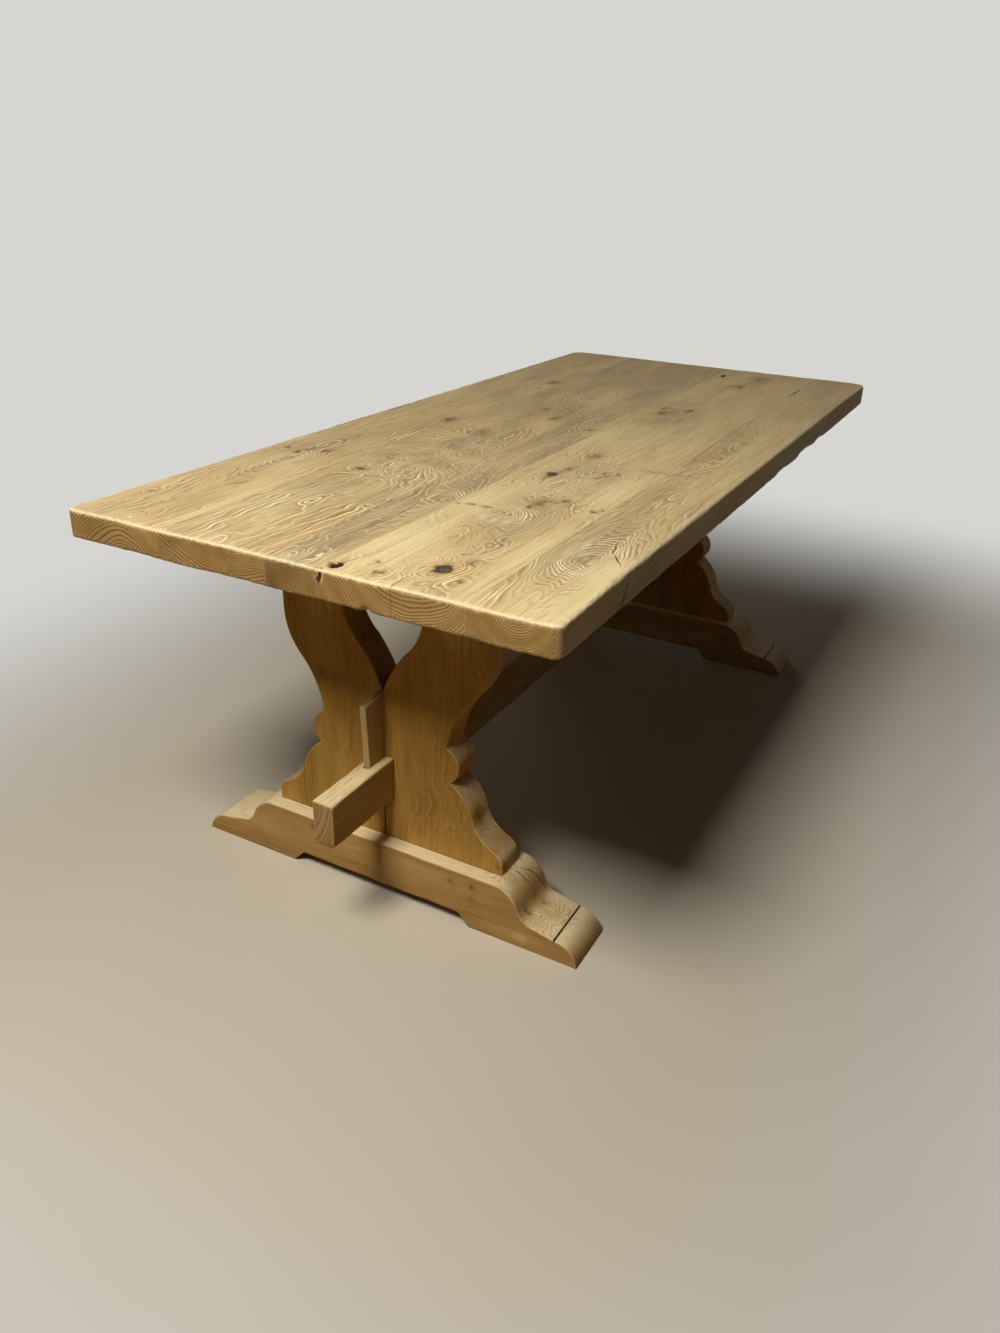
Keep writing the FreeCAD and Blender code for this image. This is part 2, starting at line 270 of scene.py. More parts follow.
# The boards of the top, from the left one to the right one
TOP_TIMBER = (
    Timber(
        seed=11, grain=X, pith=(352.0, 655.0), lean=(10.0, 16.0), ring=4.6, tone=0.0, crest=346.0,
        slope=0.24, figure=1.25,
        knots=all_marks(
            board_knot, (-476, 418, 11, 6, 8, 0.6), (-496, 380, 12, 7, 10, 0.6),
            (-472, 371, 11, 7, 8, 0.6), (-456, 334, 15, 8, 10, 0.6), (-68, 279, 26, 15, 14, 0.42),
            (480, 278, 28, 16, 14, 0.42), (392, 280, 12, 6, 8, 0.25), (-854, 414, 9, 6, 6, 0.22),
        ),
        stains=all_marks(
            board_stain, (-480, 375, 54, 46, 0.6), (-68, 278, 60, 24, 0.4), (480, 280, 60, 30, 0.25),
            (650, 330, 200, 60, 0.15), (-850, 275, 190, 22, -0.25), (-320, 360, 120, 90, 0.18),
            (-600, 300, 120, 36, -0.25),
        ) + (Stain((-1000, 385, 725), (8, 46, 40), 0.35),),
        swirls=all_marks(
            board_swirl, (-974, 338, 32, 26, -24), (-540, 365, 190, 60, -52, 1.6, 180),
            (-935, 352, 60, 60, 0, 1.0, 0, 0.7), (150, 380, 140, 40, -30, 2.0),
            (760, 330, 110, 50, 36, 1.5, 180),
        ),
    ),
    Timber(
        seed=23, grain=X, pith=(110.0, 985.0), lean=(-8.0, 16.0), ring=4.4, tone=0.12, crest=150.0,
        slope=0.2, figure=1.4,
        knots=all_marks(
            board_knot, (-528, 202, 16, 11, 14, 0.7), (-546, 90, 7, 5, 6, 0.38),
            (-716, 58, 5, 3, 5, 0.35), (-136, 158, 26, 14, 14, 0.15), (162, 146, 16, 9, 12, 0.35),
            (84, 86, 20, 9, 12, 0.4),
        ),
        stains=all_marks(
            board_stain, (-732, 158, 42, 17, 0.4), (-634, 160, 32, 15, 0.34), (-430, 196, 50, 20, 0.34),
            (-165, 140, 70, 34, 0.45), (110, 120, 90, 60, 0.25), (700, 140, 260, 70, 0.2),
            (-300, 120, 160, 60, 0.12),
        ),
        swirls=all_marks(
            board_swirl, (-560, 158, 480, 900, -150, 10.0, 0, 0.0),
            (-455, 150, 110, 60, 0, 1.0, 0, 0.85), (-250, 110, 170, 44, 0, 1.0, 0, 0.65),
            (-930, 125, 110, 80, 0, 1.0, 0, 0.7), (-985, 147, 40, 18, 14),
            (-745, 150, 46, 20, 14, 1.6, 180), (420, 120, 140, 54, 46, 1.6), (820, 190, 100, 54, -46),
        ),
        burrs=all_marks(
            Burr, ((-470, 165, 0), (80, 34, THROUGH), 4.0, 46.0),
            ((-290, 140, 0), (130, 50, THROUGH), 7.0, 95.0),
        ),
        cracks=(board_crack(-818, 100, -755, 98, 1.6),),
    ),
    Timber(
        seed=37, grain=X, pith=(-160.0, 905.0), lean=(12.0, 4.0), ring=3.7, tone=0.26, crest=-140.0,
        slope=0.1, figure=0.7,
        knots=(board_knot(30, -32, 14, 8, 10),),
        stains=all_marks(
            board_stain, (-850, 20, 160, 36, 0.55), (-500, -26, 100, 22, 0.5), (-380, 0, 60, 30, -0.3),
            (-180, -42, 90, 14, 0.45), (-120, 24, 90, 18, 0.25), (140, 0, 66, 22, 0.4),
            (560, -10, 220, 40, 0.3),
        ),
        swirls=all_marks(
            board_swirl, (-650, 60, 300, 420, 34, 1.4, 172, 0.4),
            (-600, -50, 70, 70, 26, 1.6, 120, 0.8), (-985, 15, 70, 40, 20, 1.0, 0, 0.8),
            (-952, -28, 40, 13, 10, 1.5, 180), (110, -10, 110, 40, 34, 1.6),
            (640, 0, 160, 40, 28, 1.4, 180),
        ),
        cracks=all_marks(
            board_crack, (-818, -9, -733, -18, 1.5), (-740, -18, -648, -8, 1.5),
            (-704, 39, -640, 39, 2.2),
        ),
    ),
    Timber(
        seed=41, grain=X, pith=(-205.0, 800.0), lean=(6.0, -14.0), ring=4.2, tone=-0.2, crest=-212.0,
        slope=0.22, figure=0.85,
        knots=all_marks(
            board_knot, (-968, -70, 16, 8, 12, 2.2, True), (-930, -116, 6, 5, 6, 0.7),
            (-964, -142, 15, 7, 8, 0.28), (-900, -213, 20, 16, 22, 2.2), (-857, -235, 15, 8, 10, 0.3),
            (-936, -258, 11, 6, 8, 0.55), (-758, -226, 18, 3, 5, 0.3), (-528, -187, 26, 11, 14, 0.5),
            (-499, -219, 13, 6, 8, 0.5), (-560, -180, 9, 5, 5, 0.5), (-526, -287, 9, 6, 6, 0.7),
            (-508, -294, 7, 5, 5, 0.6), (-352, -121, 22, 10, 12, 1.5), (-286, -203, 11, 6, 8, 0.55),
            (-302, -214, 9, 5, 6, 0.5), (-324, -206, 8, 6, 8, 0.5), (-282, -229, 11, 6, 8, 0.5),
            (-300, -132, 11, 8, 10, 0.4), (-176, -134, 20, 13, 10, 0.34), (-602, -90, 6, 8, 4, 0.5),
            (-604, -119, 7, 9, 4, 0.4), (-612, -66, 5, 5, 3, 0.4), (296, -102, 28, 15, 12, 0.5),
            (352, -90, 20, 12, 8, 0.5), (364, -150, 22, 11, 8, 0.5), (744, -162, 26, 8, 8, 0.42),
            (744, -146, 8, 14, 6, 0.36), (876, -73, 12, 6, 8, 2.0, True),
            (888, -178, 30, 14, 12, 0.22), (344, -250, 10, 5, 5, 0.36),
        ) + (Knot((-1000, -59, 738), (10, 3.5, 13), 0.0, 2.2, True),),
        stains=all_marks(
            board_stain, (300, -135, 80, 50, 0.8), (888, -178, 60, 26, 0.3), (744, -160, 50, 24, 0.25),
            (-660, -192, 62, 46, 0.8), (-530, -190, 56, 32, 0.5), (-360, -125, 46, 18, 0.8),
            (-310, -195, 60, 44, 0.5), (-222, -290, 7, 24, 0.6), (-176, -136, 60, 26, 0.4),
            (-830, -284, 150, 18, -0.36), (-840, -105, 130, 38, -0.4), (-575, -100, 60, 36, -0.3),
            (-775, -212, 50, 20, 0.4), (-920, -195, 60, 40, 0.14), (-400, -275, 100, 22, -0.32),
        ),
        swirls=all_marks(
            board_swirl, (-612, -148, 110, 96, -74, 0.6, 230), (-895, -214, 84, 54, -40),
            (-790, -228, 90, 34, -18, 1.5), (-400, -170, 110, 50, 0), (330, -140, 110, 54, 46, 1.6),
            (800, -170, 110, 54, 40),
        ),
        burrs=all_marks(
            Burr, ((-390, -185, 0), (120, 50, THROUGH), 8.0, 60.0),
            ((-880, -200, 0), (90, 60, THROUGH), 5.0, 70.0),
        ),
        cracks=all_marks(
            board_crack, (-956, -74, -895, -92, 1.0), (-1001, -186, -962, -185, 1.3),
            (-226, -258, -220, -307, 1.4),
        ),
    ),
    Timber(
        seed=53, grain=X, pith=(-384.0, 757.0), lean=(4.0, -10.0), ring=3.6, tone=0.0, crest=-376.0,
        slope=0.22, figure=1.0,
        stains=all_marks(
            board_stain, (-720, -356, 150, 40, 0.75), (-776, -418, 44, 16, -0.7),
            (-420, -426, 60, 8, 0.5), (-250, -325, 300, 20, 0.35), (-217, -326, 7, 30, 0.6),
            (560, -370, 260, 60, 0.2), (-930, -400, 90, 60, -0.65), (-300, -400, 280, 26, -0.25),
        ) + (Stain((0, -452, 725), (THROUGH, 5, THROUGH), 0.6),),
        swirls=all_marks(
            board_swirl, (-756, -374, 140, 92, -56, 1.5, 180), (120, -360, 200, 36, 26, 1.6),
            (640, -400, 180, 36, 30, 1.4),
        ),
        cracks=all_marks(
            board_crack, (-658, -384, -708, -397, 2.2), (-704, -398, -742, -424, 2.0),
            (-220, -308, -213, -345, 1.4), (710, -308, 788, -314, 4.0),
        # The crack at the near end of the right edge is drawn wider than it opens, so that its dark band
        # also paints the shadow inside it
        ) + (Crack((-794, 0, 700), (-760, 0, 736), 5.0, Y),),
    ),
)

# The base. Near pieces carry the marks of the real ones, and far pieces get their own logs.
BASE_TIMBER = {
    "near_left_upright": Timber(
        seed=61, grain=Z, pith=(-640.0, 70.0), lean=(0.0, 18.0), ring=5.2, tone=0.12,
        knots=(Knot((-759, 136, 432), (THROUGH, 5, 7), 16.0),),
        stains=all_marks(
            # The dark stain on the inner face of the V, at 520 high, is painted shade under the top
            Stain, ((-759, 128, 430), (THROUGH, 26, 12), 0.35), ((-702, 42, 520), (28, 46, 80), 1.0),
            # The pale patch at the head of the upright is painted light falling there
            ((-759, 150, 610), (THROUGH, 90, 60), -0.45),
        ),
    ),
    "near_right_upright": Timber(
        seed=67, grain=Z, pith=(-650.0, -150.0), lean=(0.0, -14.0), ring=4.6, tone=0.12,
        knots=all_marks(
            Knot, ((-759, -184, 513), (THROUGH, 3.5, 5), 8.0),
            ((-759, -191, 512), (THROUGH, 3, 4), 6.0), ((-759, -236, 530), (THROUGH, 4, 6), 8.0),
            ((-759, -245, 136), (THROUGH, 5, 6), 10.0), ((-735, -196, 215), (9, THROUGH, 12), 10.0),
        ),
        stains=all_marks(
            Stain, ((-735, -196, 212), (14, THROUGH, 22), 0.5),
            # The pale patch at the head of the upright is painted light falling there
            ((-759, -150, 610), (THROUGH, 90, 60), -0.45),
        ),
    ),
    # The far uprights and the far foot are toned darker than the near ones; this darkening is painted shade
    # from the table's shadow over the far trestle
    "far_left_upright": Timber(
        seed=71, grain=Z, pith=(560.0, 90.0), lean=(0.0, 12.0), ring=4.8, tone=0.4,
    ),
    "far_right_upright": Timber(
        seed=73, grain=Z, pith=(540.0, -120.0), lean=(0.0, -12.0), ring=5.0, tone=0.4,
    ),
    "near_foot": Timber(
        seed=79, grain=Y, pith=(-742.0, 72.0), lean=(6.0, 4.0), ring=4.4, tone=0.1, figure=0.25,
        knots=all_marks(
            Knot, ((-789, -165, 90), (THROUGH, 6, 5), 8.0), ((-789, -208, 97), (THROUGH, 5, 8), 8.0),
            ((-789, -207, 65), (THROUGH, 4, 6), 8.0), ((-789, 154, 97), (THROUGH, 6, 6), 10.0),
            ((-763, -310, 65), (8, 7, 20), 8.0, 0.6), ((-715, -325, 55), (9, 7, 20), 10.0, 0.6),
        ),
        stains=all_marks(
            Stain, ((-712, -304, 75), (26, 20, 40), 0.6), ((-789, -310, 24), (THROUGH, 14, 12), -0.5),
        ),
        swirls=all_marks(
            Swirl, ((-282, -750), (36, 30), 44.0), ((-337, -727), (30, 26), 36.0),
            ((-328, -771), (28, 22), 28.0),
        ),
        cracks=all_marks(
            Crack, ((-729, -266, 0), (-725, -297, 0), 1.8, Z),
            ((-713, -272, 0), (-682, -313, 0), 1.8, Z),
        ),
    ),
    # Its darker tone is painted shade, as on the far uprights
    "far_foot": Timber(
        seed=83, grain=Y, pith=(628.0, 64.0), lean=(6.0, 4.0), ring=4.4, tone=0.4, figure=0.4,
        knots=(Knot((577, -260, 80), (THROUGH, 9, 9), 12.0),),
    ),
    "stretcher": Timber(
        seed=89, grain=X, pith=(95.0, 285.0), lean=(6.0, 10.0), ring=6.5, tone=0.1,
        # The rail between the trestles is stained darker and redder: partly its own colour, partly painted
        # shade from the top above it
        stains=(Stain((-40, 0, 250), (420, THROUGH, THROUGH), 0.9),),
    ),
    "near_wedge": Timber(
        seed=97, grain=Z, pith=(-770.0, 60.0), lean=(0.0, 6.0), ring=3.6, tone=0.0,
        stains=all_marks(
            Stain, ((-790, 3, 428), (THROUGH, THROUGH, 5), 0.8),
            ((-790, -8, 330), (THROUGH, 4, THROUGH), 0.75),
        ),
    ),
    "far_wedge": Timber(seed=101, grain=Z, pith=(690.0, -50.0), lean=(0.0, 6.0), ring=3.6, tone=0.0),
    "near_bearer": Timber(
        seed=103, grain=Y, pith=(-728.0, 590.0), lean=(4.0, 4.0), ring=4.6, tone=0.15, figure=0.4,
    ),
    "far_bearer": Timber(
        seed=107, grain=Y, pith=(640.0, 595.0), lean=(4.0, 4.0), ring=4.6, tone=0.15, figure=0.4,
    ),
}

# Chips and sunk places of the top, pushed into the wood
TOP_DENTS = {
    "top_board_3": (Dent((-1000, -54, 748), (7, 7, 14), (4.0, 0.0, -3.0)),),
    "top_board_4": all_marks(
        Dent, ((-968, -70, 750), (13, 9, 6), (0.0, 0.0, -9.0)),
        ((-1000, -60, 746), (9, 7, 14), (6.0, 0.0, -4.0)),
        ((-1000, -142, 700), (9, 8, 7), (4.0, 0.0, 4.0)),
        ((-901, -214, 750), (14, 11, 6), (0.0, 0.0, -1.5)),
        ((869, -73, 750), (12, 6, 6), (0.0, 0.0, -4.0)),
    ),
    "top_board_5": all_marks(
        Dent, ((-758, -450, 744), (8, 6, 14), (0.0, 1.2, 0.0)),
        ((330, -450, 702), (60, 9, 9), (0.0, 2.5, 3.5)),
        ((470, -450, 702), (40, 9, 8), (0.0, 2.0, 2.5)),
        ((120, -450, 702), (45, 7, 7), (0.0, 1.5, 2.0)),
    ),
}


def display_colour(red, green, blue):
    """Linear colour of 8-bit display values."""
    def linear(value):
        part = value / 255.0
        return part / 12.92 if part <= 0.04045 else ((part + 0.055) / 1.055) ** 2.4
    return linear(red), linear(green), linear(blue)


def colour_property(name, description, red, green, blue):
    """A colour, given by its 8-bit display values."""
    return FloatVectorProperty(
        name=name, description=description, default=display_colour(red, green, blue),
        subtype="COLOR", size=3, min=0.0, max=1.0,
    )


def length_property(name, description, millimetres):
    """A length, given in millimetres and kept in metres."""
    return FloatProperty(
        name=name, description=description, default=millimetres * MM, min=0.0, unit="LENGTH",
    )


def power_property(name, description, watts):
    """The power of a lamp."""
    return FloatProperty(name=name, description=description, default=watts, min=0.0, subtype="POWER")


class OakColours(bpy.types.PropertyGroup):
    """Colours of the oak, as they look in plain light."""

    top_field: colour_property("Top", "Late wood of the bleached top", 207, 177, 122)
    top_line: colour_property("Top lines", "Open early wood of the top", 250, 231, 182)
    top_bleach: colour_property("Top bleached", "Pale places of the top", 240, 217, 160)
    top_warm: colour_property("Top warm", "Warmer patches of the top", 194, 157, 97)
    top_late: colour_property("Top late wood", "Brown edges of the rings of the top", 150, 114, 66)
    top_stain: colour_property("Top stain", "Grey-brown stains of the top", 138, 113, 77)
    top_worn: colour_property("Worn arris", "Rubbed arrises of the top", 242, 219, 170)
    end_field: colour_property("End grain", "Sawn end grain of the top", 174, 134, 75)
    end_line: colour_property("End lines", "Ring lines in the end grain", 80, 50, 20)
    base_field: colour_property("Base", "Honey oak of the trestles", 194, 154, 90)
    base_line: colour_property("Base lines", "Pale grain of the trestles", 216, 180, 116)
    base_warm: colour_property("Base warm", "Warmer patches of the trestles", 178, 132, 70)
    base_late: colour_property("Base late wood", "Brown edges of the trestle's rings", 146, 108, 60)
    base_stain: colour_property("Base stain", "Darker patches of the trestles", 128, 96, 54)
    base_bleach: colour_property("Base bleached", "Upper faces of the trestles", 232, 208, 160)
    base_worn: colour_property("Base arris", "Rubbed arrises of the trestles", 219, 186, 130)
    base_end: colour_property("Base end grain", "End grain of the trestles", 182, 148, 96)
    upright_field: colour_property("Uprights", "Golden oak of the uprights", 190, 145, 66)
    upright_line: colour_property("Upright lines", "Pale grain of the uprights", 214, 174, 94)
    upright_warm: colour_property("Upright warm", "Warmer patches of the uprights", 172, 122, 46)
    upright_stain: colour_property("Upright stain", "Darker patches of the uprights", 122, 86, 36)
    wedge_field: colour_property("Wedge", "Newer oak of the wedges", 216, 190, 126)
    wedge_warm: colour_property("Wedge warm", "Warmer patches of the wedges", 162, 136, 74)
    knot_dark: colour_property("Knot", "Heart of a knot", 54, 44, 32)
    knot_grey: colour_property("Knot grey", "Weathered face of a knot", 88, 84, 76)
    knot_rim: colour_property("Knot rim", "Brown rim of a knot", 112, 84, 46)
    knot_halo: colour_property("Knot halo", "Darker wood round a knot", 152, 116, 70)
    crack: colour_property("Crack", "Dirt in cracks and holes", 40, 29, 20)
    steel: colour_property("Steel", "Screws under the bearers", 128, 125, 118)


class TableSizes(bpy.types.PropertyGroup):
    """Small sizes that shape the looks."""

    lattice: length_property("Lattice", "Spacing of the points on the skin of a board", 3.4)
    base_lattice: length_property("Base lattice", "Spacing of the points on the trestles", 4.5)
    top_arris: length_property("Top arris", "Rounding of the top's upper rim", 6.5)
    under_arris: length_property("Under arris", "Rounding of the top's lower rim", 5.0)
    near_left_corner: length_property("Near left corner", "Corner radius of the top in plan", 17.0)
    near_right_corner: length_property("Near right corner", "Corner radius of the top in plan", 14.0)
    far_left_corner: length_property("Far left corner", "Corner radius of the top in plan", 48.0)
    far_right_corner: length_property("Far right corner", "Corner radius of the top in plan", 34.0)
    flare: length_property("Left flare", "How far the left edge stands out at the near end", 10.0)
    lean: length_property("Right lean", "How far the worn right edge leans in", 6.0)
    skew: length_property("Far skew", "How far the far end stands out at its right corner", 8.0)
    joint_half: length_property("Joint", "Half width of the line between two boards", 0.5)
    joint_deep: length_property("Joint depth", "Depth of the line between two boards", 0.5)
    base_arris: length_property("Base arris", "Rounding of the trestle's sawn edges", 2.6)
    seam_arris: length_property("Seam arris", "Rounding beside the uprights' seam", 1.5)
    wear: length_property("Wear", "Width of the rubbed band along an arris", 6.5)


class StageLook(bpy.types.PropertyGroup):
    """Floor, backdrop and lamps."""

    floor: colour_property("Floor", "Plain floor under the table", 205, 192, 166)
    bounce: colour_property("Floor bounce", "Colour of the light that the floor throws back", 152, 124, 84)
    backdrop: colour_property("Backdrop", "Plain backdrop behind the table", 214, 213, 210)
    key_power: power_property("Key", "Power of the soft lamp above the near end", 80.0)
    fill_power: power_property("Fill", "Power of the broad lamp on the left", 1.5)
    rear_power: power_property("Rear", "Power of the low lamp behind the far end", 14.0)
    ambient: FloatProperty(name="Ambient", description="Even light from all round",
                           default=0.035, min=0.0, max=1.0, subtype="FACTOR")


# Lattices: the skins that all wooden pieces are made of

def node_box(name):
    """Lowest and highest corner of a node of the frame, in millimetres."""
    low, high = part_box(name)
    return np.array(low) / MM, np.array(high) / MM


def stations(low, high, step, marks=()):
    """Places along one axis: even steps of about one size between fixed marks, the ends included."""
    inside = [mark for mark in marks if low < mark < high]
    fixed = np.unique(np.round([low, high] + inside, 3))
    counts = np.maximum(1, np.round(np.diff(fixed) / step)).astype(int)
    runs = [np.linspace(a, b, n, endpoint=False) for a, b, n in zip(fixed, fixed[1:], counts)]
    return np.append(np.concatenate(runs), fixed[-1])


def round_rows(edge, radius, inward):
    """Marks beside an edge that its rounding turns into even steps of angle."""
    offsets = radius * (1.0 - np.tan(np.radians((30.0, 15.0, 0.0))))
    return [edge + inward * offset for offset in offsets]


def rim_rows(low, high, radius):
    """Marks for the rounding at both ends of a span."""
    return round_rows(low, radius, 1) + round_rows(high, radius, -1)


def fade(distance, reach):
    """1 at no distance, falling evenly to 0 at the reach."""
    return np.clip(1.0 - distance / reach, 0.0, 1.0)


def rubbed_band(worn, sizes, share=1.0):
    """How rubbed a point is: 1 on an arris, and one e-th of that at the band's width from it."""
    return np.exp(-np.abs(worn) / (share * sizes.wear / MM))


def lattice_skin(xs, ys, zs, empty=()):
    """Points and quads of the skin of a block of cells.

    xs, ys and zs are the cell walls along each axis, and a cell whose middle lies in one of the empty
    boxes is left out. The skin is every wall between a filled and an empty cell, and its quads are
    wound so that their normals point away from the filled cell.
    """
    walls = (np.asarray(xs), np.asarray(ys), np.asarray(zs))
    middles = np.meshgrid(*[(w[1:] + w[:-1]) / 2 for w in walls], indexing="ij", sparse=True)
    filled = np.ones([len(w) - 1 for w in walls], bool)
    for low, high in empty:
        inside = True
        for axis in (X, Y, Z):
            inside = inside & (middles[axis] > low[axis]) & (middles[axis] < high[axis])
        filled &= ~inside
    cells = np.pad(filled, 1)
    shape = tuple(len(w) for w in walls)
    number = np.arange(np.prod(shape)).reshape(shape)
    quads = []
    for axis in (X, Y, Z):
        order = (axis, (axis + 1) % 3, (axis + 2) % 3)
        cell = cells.transpose(order)
        corner = number.transpose(order)
        behind, ahead = cell[:-1, 1:-1, 1:-1], cell[1:, 1:-1, 1:-1]
        for wall, steps in ((behind & ~ahead, ((0, 0), (1, 0), (1, 1), (0, 1))),
                            (ahead & ~behind, ((0, 0), (0, 1), (1, 1), (1, 0)))):
            i, j, k = np.nonzero(wall)
            quads.append(np.stack([corner[i, j + a, k + b] for a, b in steps], axis=1))
    used, quads = np.unique(np.concatenate(quads), return_inverse=True)
    places = np.unravel_index(used, shape)
    points = np.stack([walls[axis][places[axis]] for axis in (X, Y, Z)], axis=1)
    return points, quads.reshape(-1, 4)


def soften(points, low, high, radius, axes=(X, Y, Z)):
    """Round the arrises of a block.

    Each point is split into the nearest point of a core, which is the block less the radius, and a
    way out from it. The way out keeps its direction, but its largest part becomes its length, so that
    the square skin bends into quarter rounds and eighths of a ball.
    """
    radius = np.broadcast_to(np.asarray(radius, float), points.shape[:1])[:, None]
    core = np.clip(points, low + radius, high - radius)
    still = [axis for axis in (X, Y, Z) if axis not in axes]
    core[:, still] = points[:, still]
    out = points - core
    return core + out * shrink(np.abs(out).max(axis=1), np.linalg.norm(out, axis=1))[:, None]


def shrink(reach, length):
    """The quotient of two lengths, and 1 where both are nothing."""
    return np.divide(reach, length, out=np.ones_like(reach), where=length > 1e-9)


def arris_distance(points, low, high, axes=(X, Y, Z)):
    """How far a skin point lies from the nearest arris: the second smallest of its face distances."""
    gaps = np.minimum(points - low, high - points)[:, list(axes)]
    return np.sort(gaps, axis=1)[:, 1]


def trace(start, steps):
    """Points along an outline of straight runs and arcs through three points."""
    points = [np.array([start])]
    for step in steps:
        here = points[-1][-1]
        if len(step) == 1:
            points.append(np.array([step[0]]))
        else:
            points.append(arc(here, np.array(step[0]), np.array(step[1])))
    return np.concatenate(points)


def arc(start, middle, end):
    """Points on the circle through three points, after the first and up to the last."""
    a, b = middle - start, end - start
    cross = 2.0 * (a[0] * b[1] - a[1] * b[0])
    to_centre = np.array([b[1] * (a @ a) - a[1] * (b @ b), a[0] * (b @ b) - b[0] * (a @ a)]) / cross
    centre = start + to_centre
    first = math.atan2(*(start - centre)[::-1])
    turn = math.atan2(*(end - centre)[::-1]) - first
    turn = (turn + math.pi) % (2 * math.pi) - math.pi
    angles = first + turn * np.arange(1, ARC_POINTS + 1) / ARC_POINTS
    radius = np.linalg.norm(to_centre)
    return centre + radius * np.stack([np.cos(angles), np.sin(angles)], axis=1)


def keep_edges(v, total, low, high, strip_low, strip_high):
    """Stretch a lattice coordinate from 0..total to low..high, with the strips beside both ends kept."""
    limit = (high - low) * STRIP_SHARE
    bottom, top = np.minimum(strip_low, limit), np.minimum(strip_high, limit)
    middle = (v - strip_low) / (total - strip_low - strip_high)
    inner = low + bottom + middle * (high - low - bottom - top)
    near_low = low + v * bottom / strip_low
    near_high = high - (total - v) * top / strip_high
    return np.where(v < strip_low, near_low, np.where(v > total - strip_high, near_high, inner))


def plane_waves(u, v, seed, size, count=9):
    """A smooth random field between about -2 and 2: the sum of plane waves of one length, give or
    take a third, whose directions and phases come from the seed."""
    draw = np.random.default_rng(seed)
    angles = draw.uniform(0.0, 2 * math.pi, count)
    phases = draw.uniform(0.0, 2 * math.pi, count)
    lengths = size * draw.uniform(0.7, 1.35, count)
    total = np.zeros_like(u)
    for angle, phase, length in zip(angles, phases, lengths):
        across = u * math.cos(angle) + v * math.sin(angle)
        total += np.sin(across * (2 * math.pi / length) + phase)
    return total * math.sqrt(2.0 / count)


# Figure: what the log leaves on the surface of a piece

def ellipsoid(points, mark):
    """Distance from a mark's middle, counted in its half sizes."""
    return np.linalg.norm((points - np.array(mark.at)) / np.array(mark.half), axis=1)


def swirl_bell(along, across, swirl):
    """1 in the middle of a swirl, falling off as one over one plus a share of the distance squared."""
    u, v = along - swirl.at[0], across - swirl.at[1]
    ahead = u * math.cos(swirl.turn) + v * math.sin(swirl.turn)
    aside = v * math.cos(swirl.turn) - u * math.sin(swirl.turn)
    reach = swirl.half[0] * np.where(ahead > 0.0, 1.0, swirl.behind)
    return 1.0 / (1.0 + SWIRL_FALL * ((ahead / reach) ** 2 + (aside / swirl.half[1]) ** 2))


def growth_rings(points, timber, end):
    """Number of the growth ring at each point.

    The distance from the pith, a line that leans and sways along the grain, divided by the ring width
    counts the rings on end grain. On the long faces the rings lie flatter: there a share of the
    distance counts, or of the distance from the crest of a board's flames. It is lifted in bells
    round knots and swirls and rippled in burrs.
    """
    along = points[:, timber.grain]
    b, c = [points[:, axis] for axis in (X, Y, Z) if axis != timber.grain]
    sway = [plane_waves(along, along * 0.0, timber.seed + k, SWAY_LENGTH, count=5) for k in (0, 1)]
    pith_b = timber.pith[0] + timber.lean[0] * (along * MM + sway[0])
    pith_c = timber.pith[1] + timber.lean[1] * (along * MM + sway[1])
    distance = np.hypot(b - pith_b, c - pith_c)
    distance += 0.6 * plane_waves(along / 3.0, b + c, timber.seed + 2, size=40.0)
    distance += 2.2 * plane_waves(b, c, timber.seed + 4, size=95.0)
    lift = 0.7 * plane_waves(along / 3.0, b - c, timber.seed + 3, size=24.0)
    for knot in timber.knots:
        lift += knot.lift * np.exp(-0.5 * (ellipsoid(points, knot) / KNOT_REACH) ** 2)
    for swirl in timber.swirls:
        lift += swirl.lift * swirl_bell(along, b, swirl)
    for number, burr in enumerate(timber.burrs):
        window = np.exp(-0.5 * ellipsoid(points, burr) ** 2)
        lift += burr.lift * window * plane_waves(along, b, timber.seed + 10 + number, burr.size)
    # Good and bad years spread the rings and crowd them
    years = 0.7 * np.sin(distance / 9.0) + 1.1 * np.sin(distance / 31.0)
    on_end = distance + END_LIFT * lift
    on_face = FACE_SLOPE * distance + lift
    if timber.crest is not None:
        from_crest = b - timber.crest - CREST_SWAY * sway[0]
        on_face = timber.slope * np.hypot(from_crest, CREST_ROUND) + lift
    return (end * on_end + (1.0 - end) * on_face) / timber.ring + years


def ring_pitch(points, normals, timber, end):
    """Rings per millimetre along the surface: the slope of the ring count, less its part across."""
    here = growth_rings(points, timber, end)
    steps = [growth_rings(points + step, timber, end) - here for step in np.eye(3)]
    slope = np.stack(steps, axis=1)
    slope = slope - normals * np.sum(slope * normals, axis=1)[:, None]
    return here, np.linalg.norm(slope, axis=1)


def figure_field(points, normals, timber, pitch):
    """How clear the ring lines are.

    They are clearest in swirls that face up, show in patches elsewhere, are faint where they lie far
    apart or in pale wood, and hardly show on the edge of a board. They calm down along the top.
    """
    along = points[:, timber.grain]
    across = points[:, Y if timber.grain == X else X]
    patch = 0.62 + 0.34 * plane_waves(along / 3.0, across, timber.seed + 6, size=75.0)
    zone = 1.2 * timber.figure * np.clip(patch, 0.12, 1.0)
    facing = np.clip(normals[:, Z], 0.0, 1.0)
    for swirl in timber.swirls:
        bell = np.minimum(1.8, 3.4 * swirl_bell(along, across, swirl))
        zone = np.maximum(zone, facing * swirl.clear * bell)
    zone = zone * np.clip((pitch - 0.006) / 0.03, 0.06, 1.0)
    zone = zone * np.interp(tone_field(points, timber), (-0.55, 0.0), (0.2, 1.0))
    if timber.crest is not None:
        calm = np.interp(along, (CALM_FROM, CALM_TO), (1.0, CALM_LEFT))
        zone = zone * calm * (1.0 - 0.9 * normals[:, Y] ** 2)
    return zone


